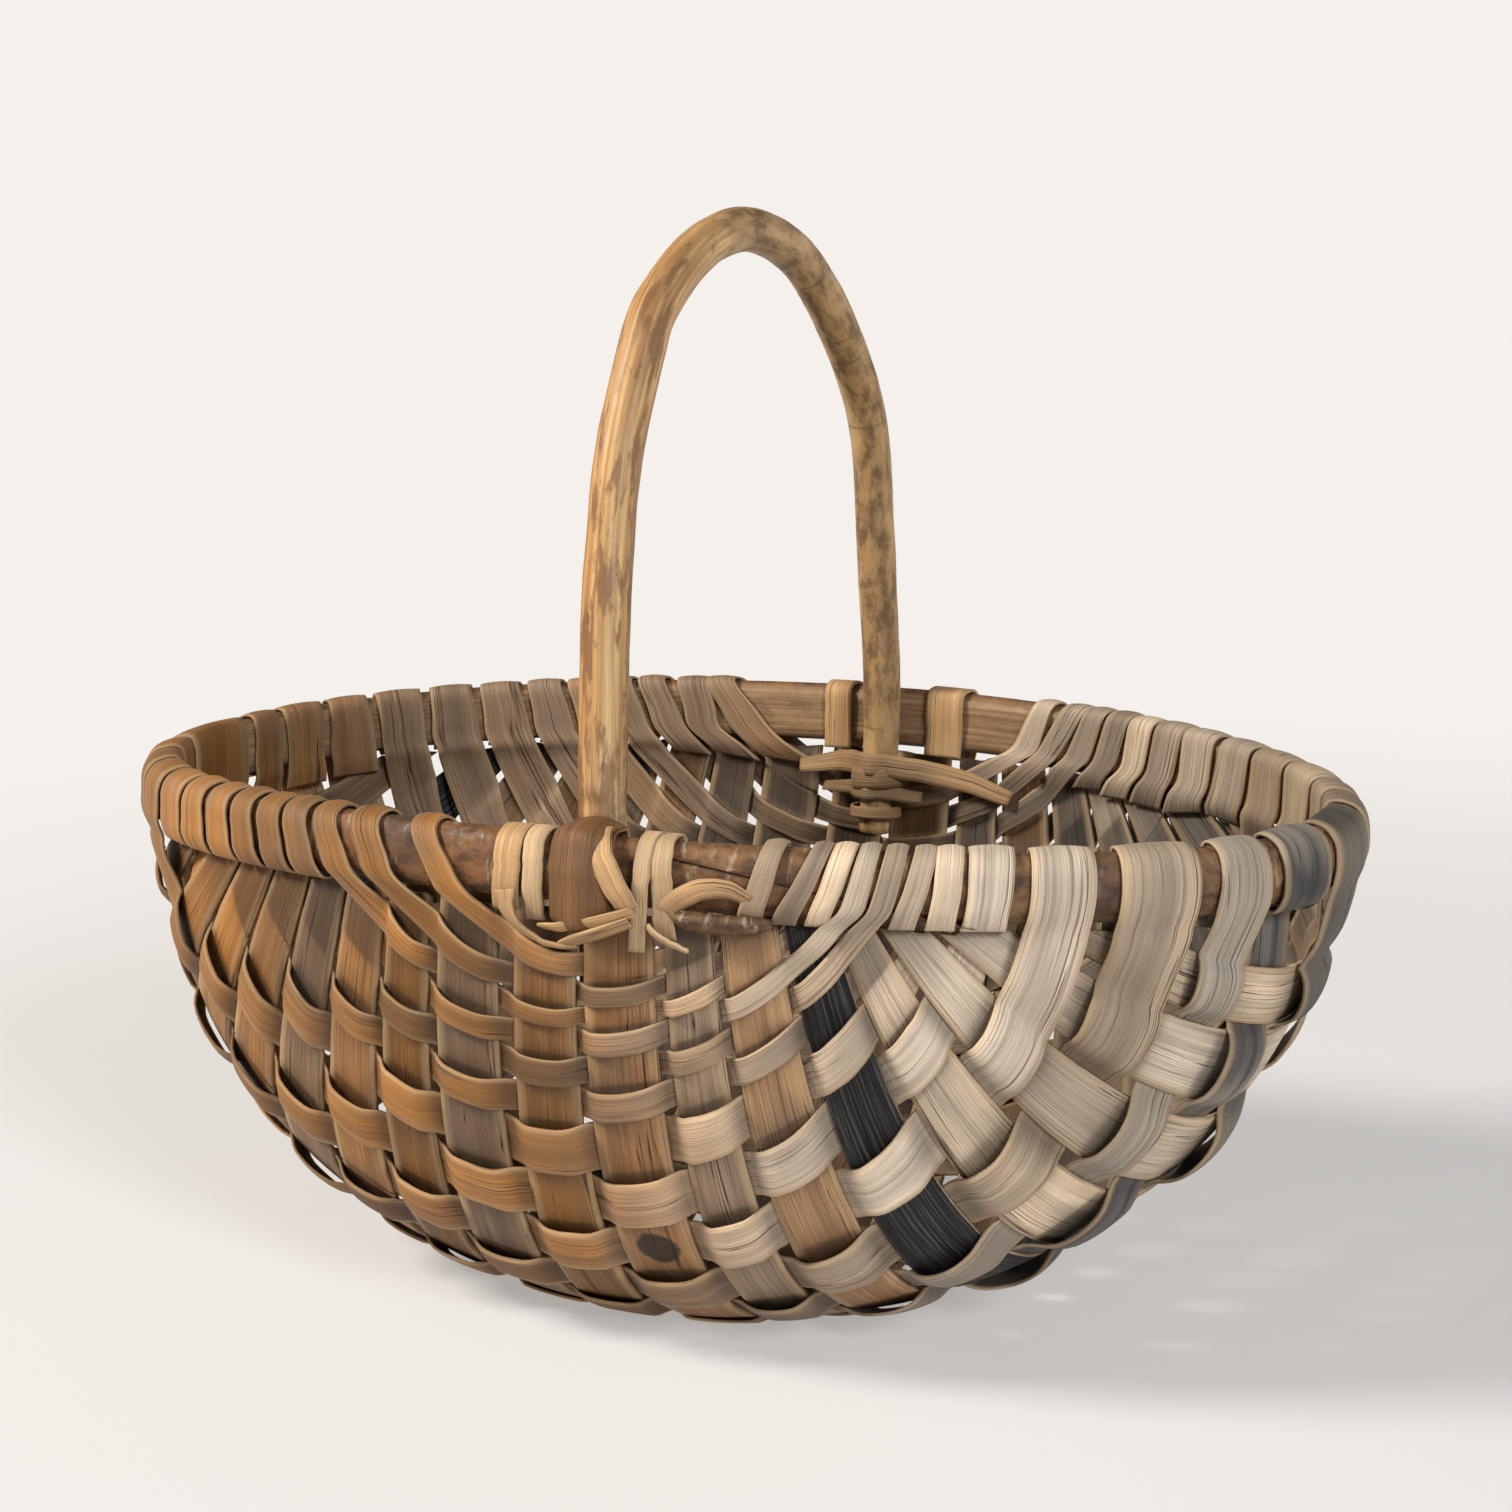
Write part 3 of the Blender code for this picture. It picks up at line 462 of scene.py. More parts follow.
def black_wood():
    """Near-black stained split wood with silvery torn fibres."""
    g = Graph("rib_black")
    fibre = g.grain(16.0, 900.0, 3.0, 0.7)
    coarse = g.grain(8.0, 380.0, 2.0)
    colour = g.mix(g.ramp(fibre, 0.45, 0.72), (0.010, 0.009, 0.009), (0.085, 0.080, 0.075))
    colour = g.mix(g.ramp(coarse, 0.58, 0.74, 0.0, 0.5), colour, (0.16, 0.145, 0.125))
    colour = g.mix(g.ramp(coarse, 0.30, 0.42, 0.8, 0.0), colour, (0.004, 0.004, 0.004))
    height = g.value("ADD", fibre, coarse)
    return g.finish(colour, 0.75, height, 0.0010, 0.9, 0.25)


def bark_wood():
    """Rim rod: mottled brown and silver bark outside, split wood on the flat inner face (mark 1)."""
    g = Graph("rim_bark")
    mottle = g.grain(95.0, 120.0, 5.0, 0.65)
    flake = g.grain(190.0, 60.0, 4.0, 0.6)
    band = g.grain(26.0, 10.0, 2.0)
    fibre = g.grain(16.0, 900.0, 3.0)
    bark = g.mix(g.ramp(mottle, 0.32, 0.62), (0.050, 0.026, 0.013), (0.175, 0.095, 0.042))
    bark = g.mix(1.0, bark, g.tint(), "MULTIPLY")
    bark = g.mix(g.ramp(flake, 0.56, 0.70, 0.0, 0.85), bark, (0.34, 0.25, 0.16))
    bark = g.mix(g.ramp(band, 0.55, 0.75, 0.0, 0.6), bark, (0.030, 0.018, 0.011))
    wood = g.mix(g.ramp(fibre, 0.25, 0.75), (0.16, 0.085, 0.038), (0.36, 0.22, 0.11))
    wood = g.mix(g.ramp(mottle, 0.50, 0.75, 0.0, 0.6), wood, (0.10, 0.062, 0.036))
    colour = g.mix(g.mark(), bark, wood)
    height = g.value("ADD", g.value("MULTIPLY", mottle, 1.2), g.value("MULTIPLY", flake, 0.7))
    return g.finish(colour, g.ramp(flake, 0.3, 0.7, 0.78, 0.50), height, 0.0008, 0.8, 0.4)


def rod_wood():
    """Handle rod: peeled golden wood (mark 0) to thin grey-brown mottled bark (mark 1)."""
    g = Graph("peeled_rod")
    fibre = g.grain(9.0, 520.0, 4.0, 0.6)
    streak = g.grain(5.5, 120.0, 4.0, 0.6)
    fleck = g.grain(75.0, 160.0, 4.0, 0.7)
    ring = g.grain(210.0, 22.0, 3.0)
    blotch = g.grain(22.0, 60.0, 4.0, 0.6)
    smear = g.grain(24.0, 105.0, 4.0, 0.65)
    peeled = g.mix(g.ramp(fibre, 0.28, 0.72), (0.32, 0.165, 0.054), (0.62, 0.40, 0.180))
    peeled = g.mix(g.ramp(streak, 0.50, 0.64, 0.0, 0.65), peeled, (0.22, 0.100, 0.034))
    peeled = g.mix(g.ramp(smear, 0.49, 0.58, 0.0, 0.85), peeled, (0.185, 0.088, 0.034))
    peeled = g.mix(g.ramp(fleck, 0.57, 0.68, 0.0, 0.65), peeled, (0.105, 0.050, 0.020))
    bark = g.mix(g.ramp(fleck, 0.38, 0.60), (0.150, 0.080, 0.031), (0.350, 0.205, 0.082))
    bark = g.mix(g.ramp(blotch, 0.46, 0.66, 0.0, 0.75), bark, (0.48, 0.31, 0.135))
    bark = g.mix(g.ramp(ring, 0.60, 0.70, 0.0, 0.45), bark, (0.085, 0.045, 0.022))
    uneven = g.value("ADD", g.mark(), g.value("MULTIPLY", g.value("SUBTRACT", blotch, 0.5), 1.6))
    colour = g.mix(g.ramp(uneven, 0.35, 0.65), peeled, bark)
    colour = g.mix(1.0, colour, g.tint(), "MULTIPLY")
    height = g.value("ADD", g.value("MULTIPLY", fibre, 0.7), g.value("MULTIPLY", ring, g.mark()))
    return g.finish(colour, g.ramp(fleck, 0.3, 0.7, 0.62, 0.42), height, 0.0005, 0.6, 0.45)


# ---- colours along the basket

# WARM tones are for the left end and COOL ones for the right. The change between them is partly the wood's own colour
# and partly painted warm light at the left and cool light at the right.
WARM = linear((170, 115, 54))
WARM_DEEP = linear((118, 78, 34))
COOL = linear((226, 208, 186))
COOL_TAN = linear((216, 186, 148))
COOL_DEEP = linear((144, 126, 108))
GREY = linear((112, 101, 88))
INK = linear((52, 52, 54))
BLUISH_TAN = linear((148, 138, 124))


def patina_and_painted_light(points, seed, depth_share=0.0):
    """Colour of a splint: warm at the left, paler and greyer at the right, wandering along its length. The left-right
    change is partly the wood's own tone and partly painted warm and cool light. Painted shade darkens the inside of the
    back and the low part, and a painted lighter patch sits inside at the back left.
    """
    rng = np.random.default_rng(seed)
    x = points[..., 0]
    # How far towards the right end's pale tones: partly the wood's own colour, partly painted cool light at the right
    # and warm light at the left.
    cool = np.clip((x + 0.02) / 0.13, 0, 1)
    cool = cool * cool * (3 - 2 * cool)
    pick, kind = rng.uniform(0, 1), rng.uniform(0, 1)
    along = wander(seed + 5, np.arange(len(points)), 0.035)[:, None]
    deep = np.clip(pick * 1.05 - 0.05 + 0.38 * along + depth_share, 0, 1)
    warm = WARM + (WARM_DEEP - WARM) * deep[..., None]
    pale = COOL + (COOL_TAN - COOL) * kind
    pale = pale + (COOL_DEEP - pale) * deep[..., None]
    colour = warm + (pale - warm) * cool[..., None]
    greying = np.clip(0.7 * (wander(seed + 9, np.arange(len(points)), 0.05) - 0.25), 0, 0.6)[:, None]
    greying = greying * (0.35 + 0.65 * cool)
    colour = colour + (GREY - colour) * greying[..., None]
    # Painted shade inside the back below the rim (less at the far left) and towards the bottom. The inner back-left
    # wall is greyer in tone and lighter as painted light.
    inside = np.clip((points[..., 1] - 0.02) / 0.06, 0, 1) * np.clip((RIM_Z - 0.012 - points[..., 2]) / 0.01, 0, 1)
    inner_left = np.clip((points[..., 1] - 0.02) / 0.06, 0, 1) * np.clip((0.02 - x) / 0.08, 0, 1)
    colour = colour + (GREY - colour) * (0.60 * inner_left)[..., None]
    low = np.clip((0.075 - points[..., 2]) / 0.06, 0, 1)
    shade = (1 - 0.62 * inside * np.clip((x + 0.11) / 0.08, 0, 1)) * (1 - 0.42 * low) * (1 + 0.45 * inner_left)
    return colour * shade[..., None]


# ---- pieces


def crossings(low_plane, high_plane):
    found = []
    for number in range(len(RIBS)):
        v = number - CENTRE_RIB
        edges = np.array([v - EDGE, v + EDGE])
        depths = np.concatenate([meet(low_plane, edges)[:, 2], meet(high_plane, edges)[:, 2]])
        if depths.min() > RIB_TOP + 0.003:
            found.append(v)
    return found


PER_RIB = 14
ACROSS = 9
SMOOTH = 4


def weave_lift(v, parity, extra):
    """Height of a weaver over the bowl's middle surface: out over one rib, in under the next."""
    nearest = np.round(v)
    off = v - nearest
    sign = np.where((nearest + parity) % 2 == 0, 1.0, -1.0)
    step = np.clip((np.abs(off) - 0.22) / 0.28, 0, 1)
    ease = 1 - step * step * (3 - 2 * step)
    crown = np.where(sign > 0, 0.0012 + extra, 0.0006) * np.cos(np.clip(off / 0.5, -1, 1) * math.pi / 2)
    return sign * (WAVE * ease + crown)


def rim_end(planes, end, sign, last, seed):
    """Control rows of a weaver's end: up to the rim, over the rod and down the other side."""
    rng = np.random.default_rng(seed)
    rows = []
    depth_now = last[:, 2].min()
    strap = (0.0056, 0.0066) if sign > 0 else (0.0034, 0.0044)
    if depth_now > MID_BEND_FROM:
        rows.append(place(at_depth(planes, (last[:, 2] + LOW_BEND) / 2, end), sign * strap[0]))
    if depth_now > LOW_BEND_FROM:
        rows.append(place(at_depth(planes, LOW_BEND, end), sign * strap[1]))
    low = at_depth(planes, TOP_BEND, end)
    rows.append(place(low, sign * 0.0070))
    top = at_depth(planes, 0.0, end)
    turn_top = np.arctan2(top[:, 0] / HALF_LONG, -top[:, 1] / HALF_WIDE)
    turn_low = np.arctan2(low[:, 0] / HALF_LONG, -low[:, 1] / HALF_WIDE)
    turn_low = turn_top + np.remainder(turn_low - turn_top + math.pi, 2 * math.pi) - math.pi
    drift = (turn_top - turn_low) / TOP_BEND
    gap = rng.uniform(0.0002, 0.0010)
    outer = RIM_OUT + WEAVER_THICK / 2 + 0.0003 + gap
    inner = RIM_IN + WEAVER_THICK / 2 + 0.0003 + gap * 0.5
    crest = RIM_HALF_TALL + WEAVER_THICK / 2 + 0.0002 + gap * 0.6
    path = [(outer - 0.0002, -0.007), (outer, 0.0), (outer * 0.90, 0.0068), (outer * 0.52, crest - 0.0016)]
    path += [(-inner * 0.25, crest), (-inner * 0.92, crest - 0.0022), (-inner - 0.0002, 0.002), (-inner, -0.007)]
    if sign < 0:
        path = path[::-1]
    twist = rng.uniform(-0.10, 0.10)
    upright = rng.uniform(0.35, 0.85)
    spread = np.linspace(-0.5, 0.5, len(planes))
    crown = 0.0006 * (1 - (2 * spread) ** 2)
    for out, up in path:
        toward = 1 if out >= 0 else -1
        turn = turn_top + upright * drift * up + twist * (up / 0.012) * (turn_top[-1] - turn_top[0]) * spread
        rows.append(beside_rim(turn, out + toward * crown * 0.7, up + crown * max(up, 0) / 0.012))
    if sign < 0:
        for out, up in ((RIM_OUT * 0.72, -RIM_HALF_TALL - 0.0008), (-0.0010, -RIM_HALF_TALL - 0.0016)):
            rows.append(beside_rim(turn_top - upright * drift * RIM_HALF_TALL, out, up))
        return np.asarray(rows)
    tail = rng.uniform(0.0185, 0.0225)
    slant = spread * rng.uniform(-0.005, 0.005)
    rows.append(place(at_depth(planes, 0.0145, end), -sign * 0.0062))
    rows.append(place(at_depth(planes, tail + slant, end), -sign * 0.0036))
    return np.asarray(rows)


def weaver(name, node, low_plane, high_plane, parity, seed, dark=0.0, ink=None):
    crossed = crossings(low_plane, high_plane)
    first_sign = 1 if (crossed[0] + parity) % 2 == 0 else -1
    last_sign = 1 if (crossed[-1] + parity) % 2 == 0 else -1
    v = np.linspace(crossed[0] - EDGE, crossed[-1] + EDGE, int((crossed[-1] - crossed[0] + 1) * PER_RIB) + 1)
    shares = np.linspace(0, 1, ACROSS)
    length = v - v[0]
    fade = np.clip(np.minimum(v - v[0], v[-1] - v) / 0.6, 0, 1)
    crossing_x = meet(low_plane + (high_plane - low_plane) * 0.5, v)[:, 0]
    right_side = np.clip((crossing_x + 0.02) / 0.12, 0, 1)
    left_side = np.clip((-0.02 - crossing_x) / 0.08, 0, 1)
    sign_here = np.cos(math.pi * (v + parity))
    width = 0.93 - 0.14 * left_side - 0.02 * right_side
    width = width * (1 + 0.06 * wander(seed, length, 1.1) + 0.05 * sign_here)
    wide = 1.0 + fade * (width - 1.0) - 0.05 * (1 - fade)
    sway = fade * 0.05 * wander(seed + 1, length, 0.8)
    ragged_low = fade * 0.020 * wander(seed + 2, length, 5.0)
    ragged_high = fade * 0.020 * wander(seed + 3, length, 5.6)
    share = 0.5 + (shares[None, :] - 0.5) * wide[:, None] + sway[:, None]
    share = np.clip(share + ragged_low[:, None] * (1 - shares) ** 4 + ragged_high[:, None] * shares**4, 0.0, 1.0)
    planes = low_plane + (high_plane - low_plane) * share[..., None]
    points = meet(planes, np.broadcast_to(v[:, None], share.shape))
    arch = 1 - (2 * shares - 1) ** 2
    extra = 0.0006 + 0.0022 * right_side + 0.0006 * left_side
    lift = weave_lift(v, parity, extra)[:, None] + 0.0006 * sign_here[:, None] * (arch - 0.5)
    lean_out = (0.0008 + 0.0009 * right_side + 0.0004 * wander(seed + 6, length, 0.7)) * np.clip(sign_here, 0, 1)
    lift = lift + lean_out[:, None] * (1 - 2 * shares) * fade[:, None]
    lift = lift + 0.00025 * wander(seed + 4, length, 2.4)[:, None]
    near_base = np.clip((points[..., 2] - BASE_FADE_FROM) / (DEEP - BASE_FADE_FROM - FLAT_CUT), 0, 1)
    flat_lift = np.clip(lift, -WAVE, WAVE)
    middle = place(points, lift + (flat_lift - lift) * near_base)
    middle[..., 2] = np.maximum(middle[..., 2], WEAVER_THICK / 2 + FLOOR_GAP)
    end_planes = low_plane + (high_plane - low_plane) * (0.5 + (shares[:, None] - 0.5) * 0.95)
    left = rim_end(end_planes, -1, first_sign, points[0], seed + 11)[::-1]
    right = rim_end(end_planes, 1, last_sign, points[-1], seed + 12)
    left_rows = smooth_rows(np.concatenate([left, middle[:1], middle[2:3]]), SMOOTH)[: -SMOOTH - 1]
    right_rows = smooth_rows(np.concatenate([middle[-3:-2], middle[-1:], right]), SMOOTH)[SMOOTH + 1 :]
    rows = np.concatenate([left_rows, middle, right_rows])
    tints = patina_and_painted_light(rows, seed, dark)
    # Painted shade where the weaver dives under a rib, with a painted highlight on its crowns.
    dive = np.exp(-(((np.abs(v - np.round(v)) - 0.5) / 0.15) ** 2)) * fade
    painted_shade = np.ones(len(rows))
    painted_shade[len(left_rows) : len(left_rows) + len(v)] = 1.06 - 0.62 * dive
    tints = tints * painted_shade[:, None, None]
    if ink is not None:
        colour, chosen = ink
        tints = tints + (colour - tints) * chosen(rows)[..., None]
    # The mark is nearness to the long edges, which split_wood makes paler: partly the wood's own pale edge, partly a
    # painted highlight.
    mesh = grid_mesh(name, rows, tints, seed, extra=np.abs(2 * shares - 1)[None, :] ** 7)
    return add_piece(name, mesh, [SPLINT, SPLINT_EDGE], [node], WEAVER_THICK)


def rib(number, seed):
    v = number - CENTRE_RIB
    node = f"rib_{number + 1:02d}"
    shares = np.linspace(-EDGE, EDGE, 7) + v
    rows = []
    painted_shades = []
    x_end, lean = rib_line(shares)
    rng = np.random.default_rng(seed)
    for side, table in ((-1, FRONT_ROWS), (1, BACK_ROWS)):
        half = []
        # Painted shade along the rib: dark at its top end, under the weavers that cover it and at the bottom, with a
        # painted highlight in the middle of each bare stretch.
        painted_shade = [0.45]
        top = RIB_TOP + 0.0012 * wander(seed + side, shares, 9.0) + rng.uniform(-0.002, 0.002) * (shares - v)
        x = x_end + lean * top
        ring = (1 - (top / DEEP) ** BULGE) ** (2 / BULGE)
        y = side * HALF_WIDE * np.sqrt(np.maximum(ring - (x / HALF_LONG) ** 2, 0))
        half.append(np.stack([x, y, top], -1))
        for row_number, row in enumerate(table):
            covered = (v + row_number) % 2 == 0
            for mix in (0.0, 0.5, 1.0):
                plane = row_plane(row[0] + (row[1] - row[0]) * mix, row[2] + (row[3] - row[2]) * mix,
                                  row[4] + (row[5] - row[4]) * mix, side)
                met = meet(plane, shares)
                if met[:, 2].min() > RIB_TOP + 0.005:
                    half.append(met)
                    painted_shade.append(0.40 if covered else (1.05 if mix == 0.5 else 0.85))
        rows.append(half)
        painted_shades.append(painted_shade)
    flat = meet(np.array([0.0, 0.0, 0.0]), shares)
    joined = np.asarray(rows[0] + [flat] + rows[1][::-1])
    painted_shade = smooth_rows(np.asarray(painted_shades[0] + [0.8] + painted_shades[1][::-1])[:, None, None], 3)
    spread = np.linspace(-1, 1, 7)
    lift = 0.0003 * (1 - spread**2) + 0.0002 * wander(seed + 7, np.arange(len(joined)), 0.9)[:, None]
    shaped = smooth_rows(place(joined, lift), 3)
    tone = patina_and_painted_light(shaped, seed, -0.25 if number > 12 else 0.35)
    if number in GREY_RIBS:
        tone = tone * 0.35 + linear((112, 96, 80)) * 0.65
    elif number in WARM_RIBS:
        tone = tone * 0.45 + linear((164, 114, 66)) * 0.55
    tone = tone * np.clip(painted_shade, 0.3, 1.1)
    wood = RIB_SCORCHED if number == BRANDED_RIB else RIB_WOOD
    # The mark is nearness to the long edges, which split_wood makes paler: partly the wood's own pale edge, partly a
    # painted highlight.
    mesh = grid_mesh(f"look_{node}", shaped, tone, seed, extra=np.abs(spread)[None, :] ** 9)
    if number in BLACK_RIBS or number == DARK_BACK_RIB:
        wood = RIB_DARK
        plain = (shaped[:-1, :-1, 1].ravel() > 0.03) == (number in BLACK_RIBS)
        mesh.polygons.foreach_set("material_index", np.where(plain, 2, 0).astype(np.int32))
    return add_piece(f"look_{node}", mesh, [wood, SPLINT_EDGE, RIB_WOOD, SPLINT_EDGE], [node], RIB_THICK)


def band(node, start, stop, gap, tails, slant, seed, tint, thick=0.0010, bulge=0.0, across=7):
    """Binding splint round the rim rod over a stretch of arc in millimetres."""
    outer = RIM_OUT + thick / 2 + gap
    inner = RIM_IN + thick / 2 + 0.0006
    crest = RIM_HALF_TALL + thick / 2 + gap
    path = [(outer - 0.0030, -tails[0]), (outer - 0.0008, -0.0125), (outer + gap * 0.6, -0.004), (outer + gap, 0.002)]
    path += [(outer * 0.93, 0.0078), (outer * 0.5, crest - 0.0008), (-inner * 0.30, crest)]
    path += [(-inner - 0.0002, crest - 0.0030), (-inner, -0.004), (-inner, -tails[1])]
    shares = np.linspace(0, 1, across)
    ctrl = []
    for out, up in path:
        arc = start + (stop - start) * shares + slant * (up / RIM_HALF_TALL)
        turn = rim_turn(arc * MM)
        if node.startswith("back"):
            turn = math.pi - turn
        swell = bulge * (1 - (2 * shares - 1) ** 2)
        grow = np.sign(out) * swell * (1.0 if out > 0 else 0.15) * (0.35 if up == -tails[0] else 1.0)
        ctrl.append(beside_rim(turn, out + grow, up + swell * np.clip(up / RIM_HALF_TALL, -1.2, 1.2) * 0.55))
    rows = smooth_rows(ctrl, 5)
    jitter = 0.00025 * wander(seed, np.arange(len(rows)), 0.5)[:, None, None]
    rows = rows + jitter
    shade = 1 + 0.10 * wander(seed + 2, np.arange(len(rows)), 0.3)
    mesh = grid_mesh(f"look_{node}", rows, np.broadcast_to(tint, rows.shape) * shade[:, None, None], seed)
    return add_piece(f"look_{node}", mesh, [SPLINT, SPLINT_EDGE], [node], thick)


def ribbon(name, nodes, points, seed, tint, wood=None, thick=WEAVER_THICK, tilt=0.6):
    """Splint along a free path beside the rim: points give arc, distance out, height and width, in millimetres."""
    centres, outward = [], []
    for arc, out, up, _ in points:
        turn = rim_turn(arc * MM)
        if name.startswith("look_back"):
            turn = math.pi - turn
        centres.append(beside_rim(turn, out * MM, up * MM))
        flat = np.append(rim_frame(turn)[1], 0.0) * out + np.array([0.0, 0.0, up * tilt])
        outward.append(flat / np.linalg.norm(flat))
    centres = np.asarray(centres)
    along = np.gradient(centres, axis=0)
    side = np.cross(along, np.asarray(outward))
    side = side / np.linalg.norm(side, axis=1, keepdims=True)
    shares = np.linspace(-0.5, 0.5, 5)
    widths = np.array(points)[:, 3] * MM
    ctrl = centres[:, None] + side[:, None] * (widths[:, None] * shares)[..., None]
    ctrl = ctrl + np.asarray(outward)[:, None] * (0.0004 * (1 - (2 * shares) ** 2))[None, :, None]
    rows = smooth_rows(ctrl, 6)
    rows = rows + 0.0002 * wander(seed, np.arange(len(rows)), 0.5)[:, None, None]
    shade = 1 + 0.12 * wander(seed + 2, np.arange(len(rows)), 0.3)
    mesh = grid_mesh(name, rows, np.broadcast_to(tint, rows.shape) * shade[:, None, None], seed)
    return add_piece(name, mesh, [wood or SPLINT, wood or SPLINT_EDGE], nodes, thick)


def rim_section(count):
    points = []
    for step in range(count):
        turn = -math.pi / 2 + math.pi * step / (count - 1)
        cosine = max(math.cos(turn), 0.0)
        points.append((-0.001 + (RIM_OUT + 0.001) * cosine**0.8, RIM_HALF_TALL * math.sin(turn), 0.0))
    for step in range(6):
        up = RIM_HALF_TALL * 0.80 * (1 - 2 * step / 5)
        points.append((-RIM_IN, up, 1.0))
    return np.array(points)


def rim_hoop():
    section = rim_section(15)
    stations = 420
    steps = np.linspace(0, 1, stations)
    rings, marks = [], []
    for turn in SCARF_START + (2 * math.pi + SCARF_OVERLAP) * steps:
        out, up = section[:, 0].copy(), section[:, 1].copy()
        swell = 1 + 0.035 * wander(31, np.array([turn]), 5.0)[0] + 0.02 * wander(32, np.array([turn]), 17.0)[0]
        out = np.where(out > 0, out * swell, out)
        bump = 0.00035 * wander(33, turn * 9 + np.arange(len(out)) * 1.7, 1.0)
        out = out + bump * (section[:, 2] < 0.5)
        into = (turn - SCARF_START) / SCARF_OVERLAP
        left = (SCARF_START + 2 * math.pi + SCARF_OVERLAP - turn) / SCARF_OVERLAP
        if into < 1:
            cut = SCARF_HIGH - SCARF_DROP * into
            up = np.maximum(up, cut + (up - cut) * 0.02)
        if left < 1:
            cut = SCARF_HIGH - SCARF_DROP * (1 - left) - SCARF_GAP
            up = np.minimum(up, cut + (up - cut) * 0.02)
        rings.append(beside_rim(np.full(len(out), turn), out, up))
        marks.append(section[:, 2])
    rings = np.asarray(rings)
    # Warmer at the left end, cooler at the right: partly the bark's own colour, partly painted warm light at the left
    # and cool light at the right.
    warm = np.array([1.10, 0.84, 0.60])
    cool = np.array([1.1, 1.05, 1.0])
    mixing = np.clip((rings[..., 0] + 0.05) / 0.2, 0, 1)[..., None]
    tints = warm + (cool - warm) * mixing
    mesh = grid_mesh("look_rim_hoop", rings, tints, 41, closed=True, extra=np.asarray(marks))
    return add_piece("look_rim_hoop", mesh, [RIM_WOOD], ["rim_hoop"])


def handle_path(share):
    spans = len(HANDLE_BENDS) - 3
    place_on = min(max(share, 0.0), 1.0) * spans
    first = min(int(place_on), spans - 1)
    t = place_on - first
    p0, p1, p2, p3 = [np.array(HANDLE_BENDS[first + k], float) for k in range(4)]
    spot = p1 * (2 * t**3 - 3 * t**2 + 1) + (p2 - p0) / 2 * (t**3 - 2 * t**2 + t)
    spot = spot + p2 * (3 * t**2 - 2 * t**3) + (p3 - p1) / 2 * (t**3 - t**2)
    return np.array([HANDLE_X, spot[0] * MM, RIM_Z + spot[1] * MM]) + SHIFT


def leg_point(share, down):
    return handle_path(share) + np.array([LEAN_X, LEAN_Y, 0]) * down / DEEP - np.array([0, 0, down])


def handle():
    legs, arch = 16, 170
    stations = [leg_point(0.0, HANDLE_BELOW * (1 - step / legs)) for step in range(legs)]
    stations += [handle_path(step / arch) for step in range(arch + 1)]
    stations += [leg_point(1.0, HANDLE_BELOW * (step + 1) / legs) for step in range(legs)]
    stations = np.asarray(stations)
    count = len(stations)
    along = curve_table(stations) / curve_table(stations)[-1]
    sway = np.stack([0.0007 * wander(51, along, 22.0), 0.0004 * wander(52, along, 26.0), 0 * along], 1)
    stations = stations + sway * np.clip(np.minimum(along - 0.09, 0.91 - along) / 0.05, 0, 1)[:, None]
    around = 28
    rings, marks, tints = [], [], []
    angles = 2 * math.pi * np.arange(around) / around
    for number in range(count):
        ahead = stations[min(number + 1, count - 1)] - stations[max(number - 1, 0)]
        ahead = ahead / np.linalg.norm(ahead)
        outward = np.cross(np.array([1.0, 0.0, 0.0]), ahead)
        outward = outward / np.linalg.norm(outward)
        across = np.cross(ahead, outward)
        facing = math.copysign(1.0, outward[1] * stations[number][1])
        share = along[number]
        radius = HANDLE_RADIUS_FRONT + (HANDLE_RADIUS_BACK - HANDLE_RADIUS_FRONT) * number / (count - 1)
        below = RIM_Z - stations[number][2]
        if below > 0:
            radius = radius + (HANDLE_TIP_RADIUS - radius) * below / HANDLE_BELOW
        coarse = 0.022 * wander(53, share * 40 + np.cos(angles) * 0.9, 1.0)
        fine = 0.015 * wander(54, share * 90 + np.sin(angles) * 1.4, 1.0)
        shape = radius * (1 + coarse + fine)
        knot = math.exp(-((share - KNOT_AT) / 0.010) ** 2) * np.exp(-((angles - 0.3) / 0.5) ** 2)
        shape = shape + 0.0010 * knot
        fold = math.exp(-((share - FOLDS_AT) / 0.050) ** 2)
        shape = shape + 0.00022 * fold * math.sin(share * 620) * (0.5 + 0.5 * np.cos(angles - math.pi))
        out = np.cos(angles) * shape
        if below > -FACET_TOP:
            out = facing * np.minimum(out * facing, HANDLE_FACET)
        rings.append(stations[number] + outward * out[:, None] + across * (np.sin(angles) * shape)[:, None])
        cover = np.clip((share - 0.40) / 0.14, 0, 1)
        marks.append(np.full(around, 0.15 + 0.75 * cover))
        foot = math.exp(-(max(share - 0.075, 0) / 0.045) ** 2) + math.exp(-(max(0.915 - share, 0) / 0.012) ** 2)
        facet = np.clip((np.cos(angles - 0.6) - 0.15) / 0.3, 0, 1) * min(foot, 1.0)
        tone = np.array([1.0, 1.0, 1.0]) + np.array([0.32, 0.62, 1.15]) * facet[:, None] * 0.8
        # Painted warm light on one side of the front half of the rod.
        painted_warm_side = np.clip(np.cos(angles + 0.9), 0, 1) ** 2 * min(max((0.48 - share) / 0.10, 0.0), 1.0)
        tints.append(tone * (1 - np.array([0.10, 0.28, 0.52]) * painted_warm_side[:, None]))
    mesh = grid_mesh("look_handle", np.asarray(rings), np.asarray(tints), 61, closed=True, extra=np.asarray(marks))
    return add_piece("look_handle", mesh, [ROD_WOOD], ["handle"])


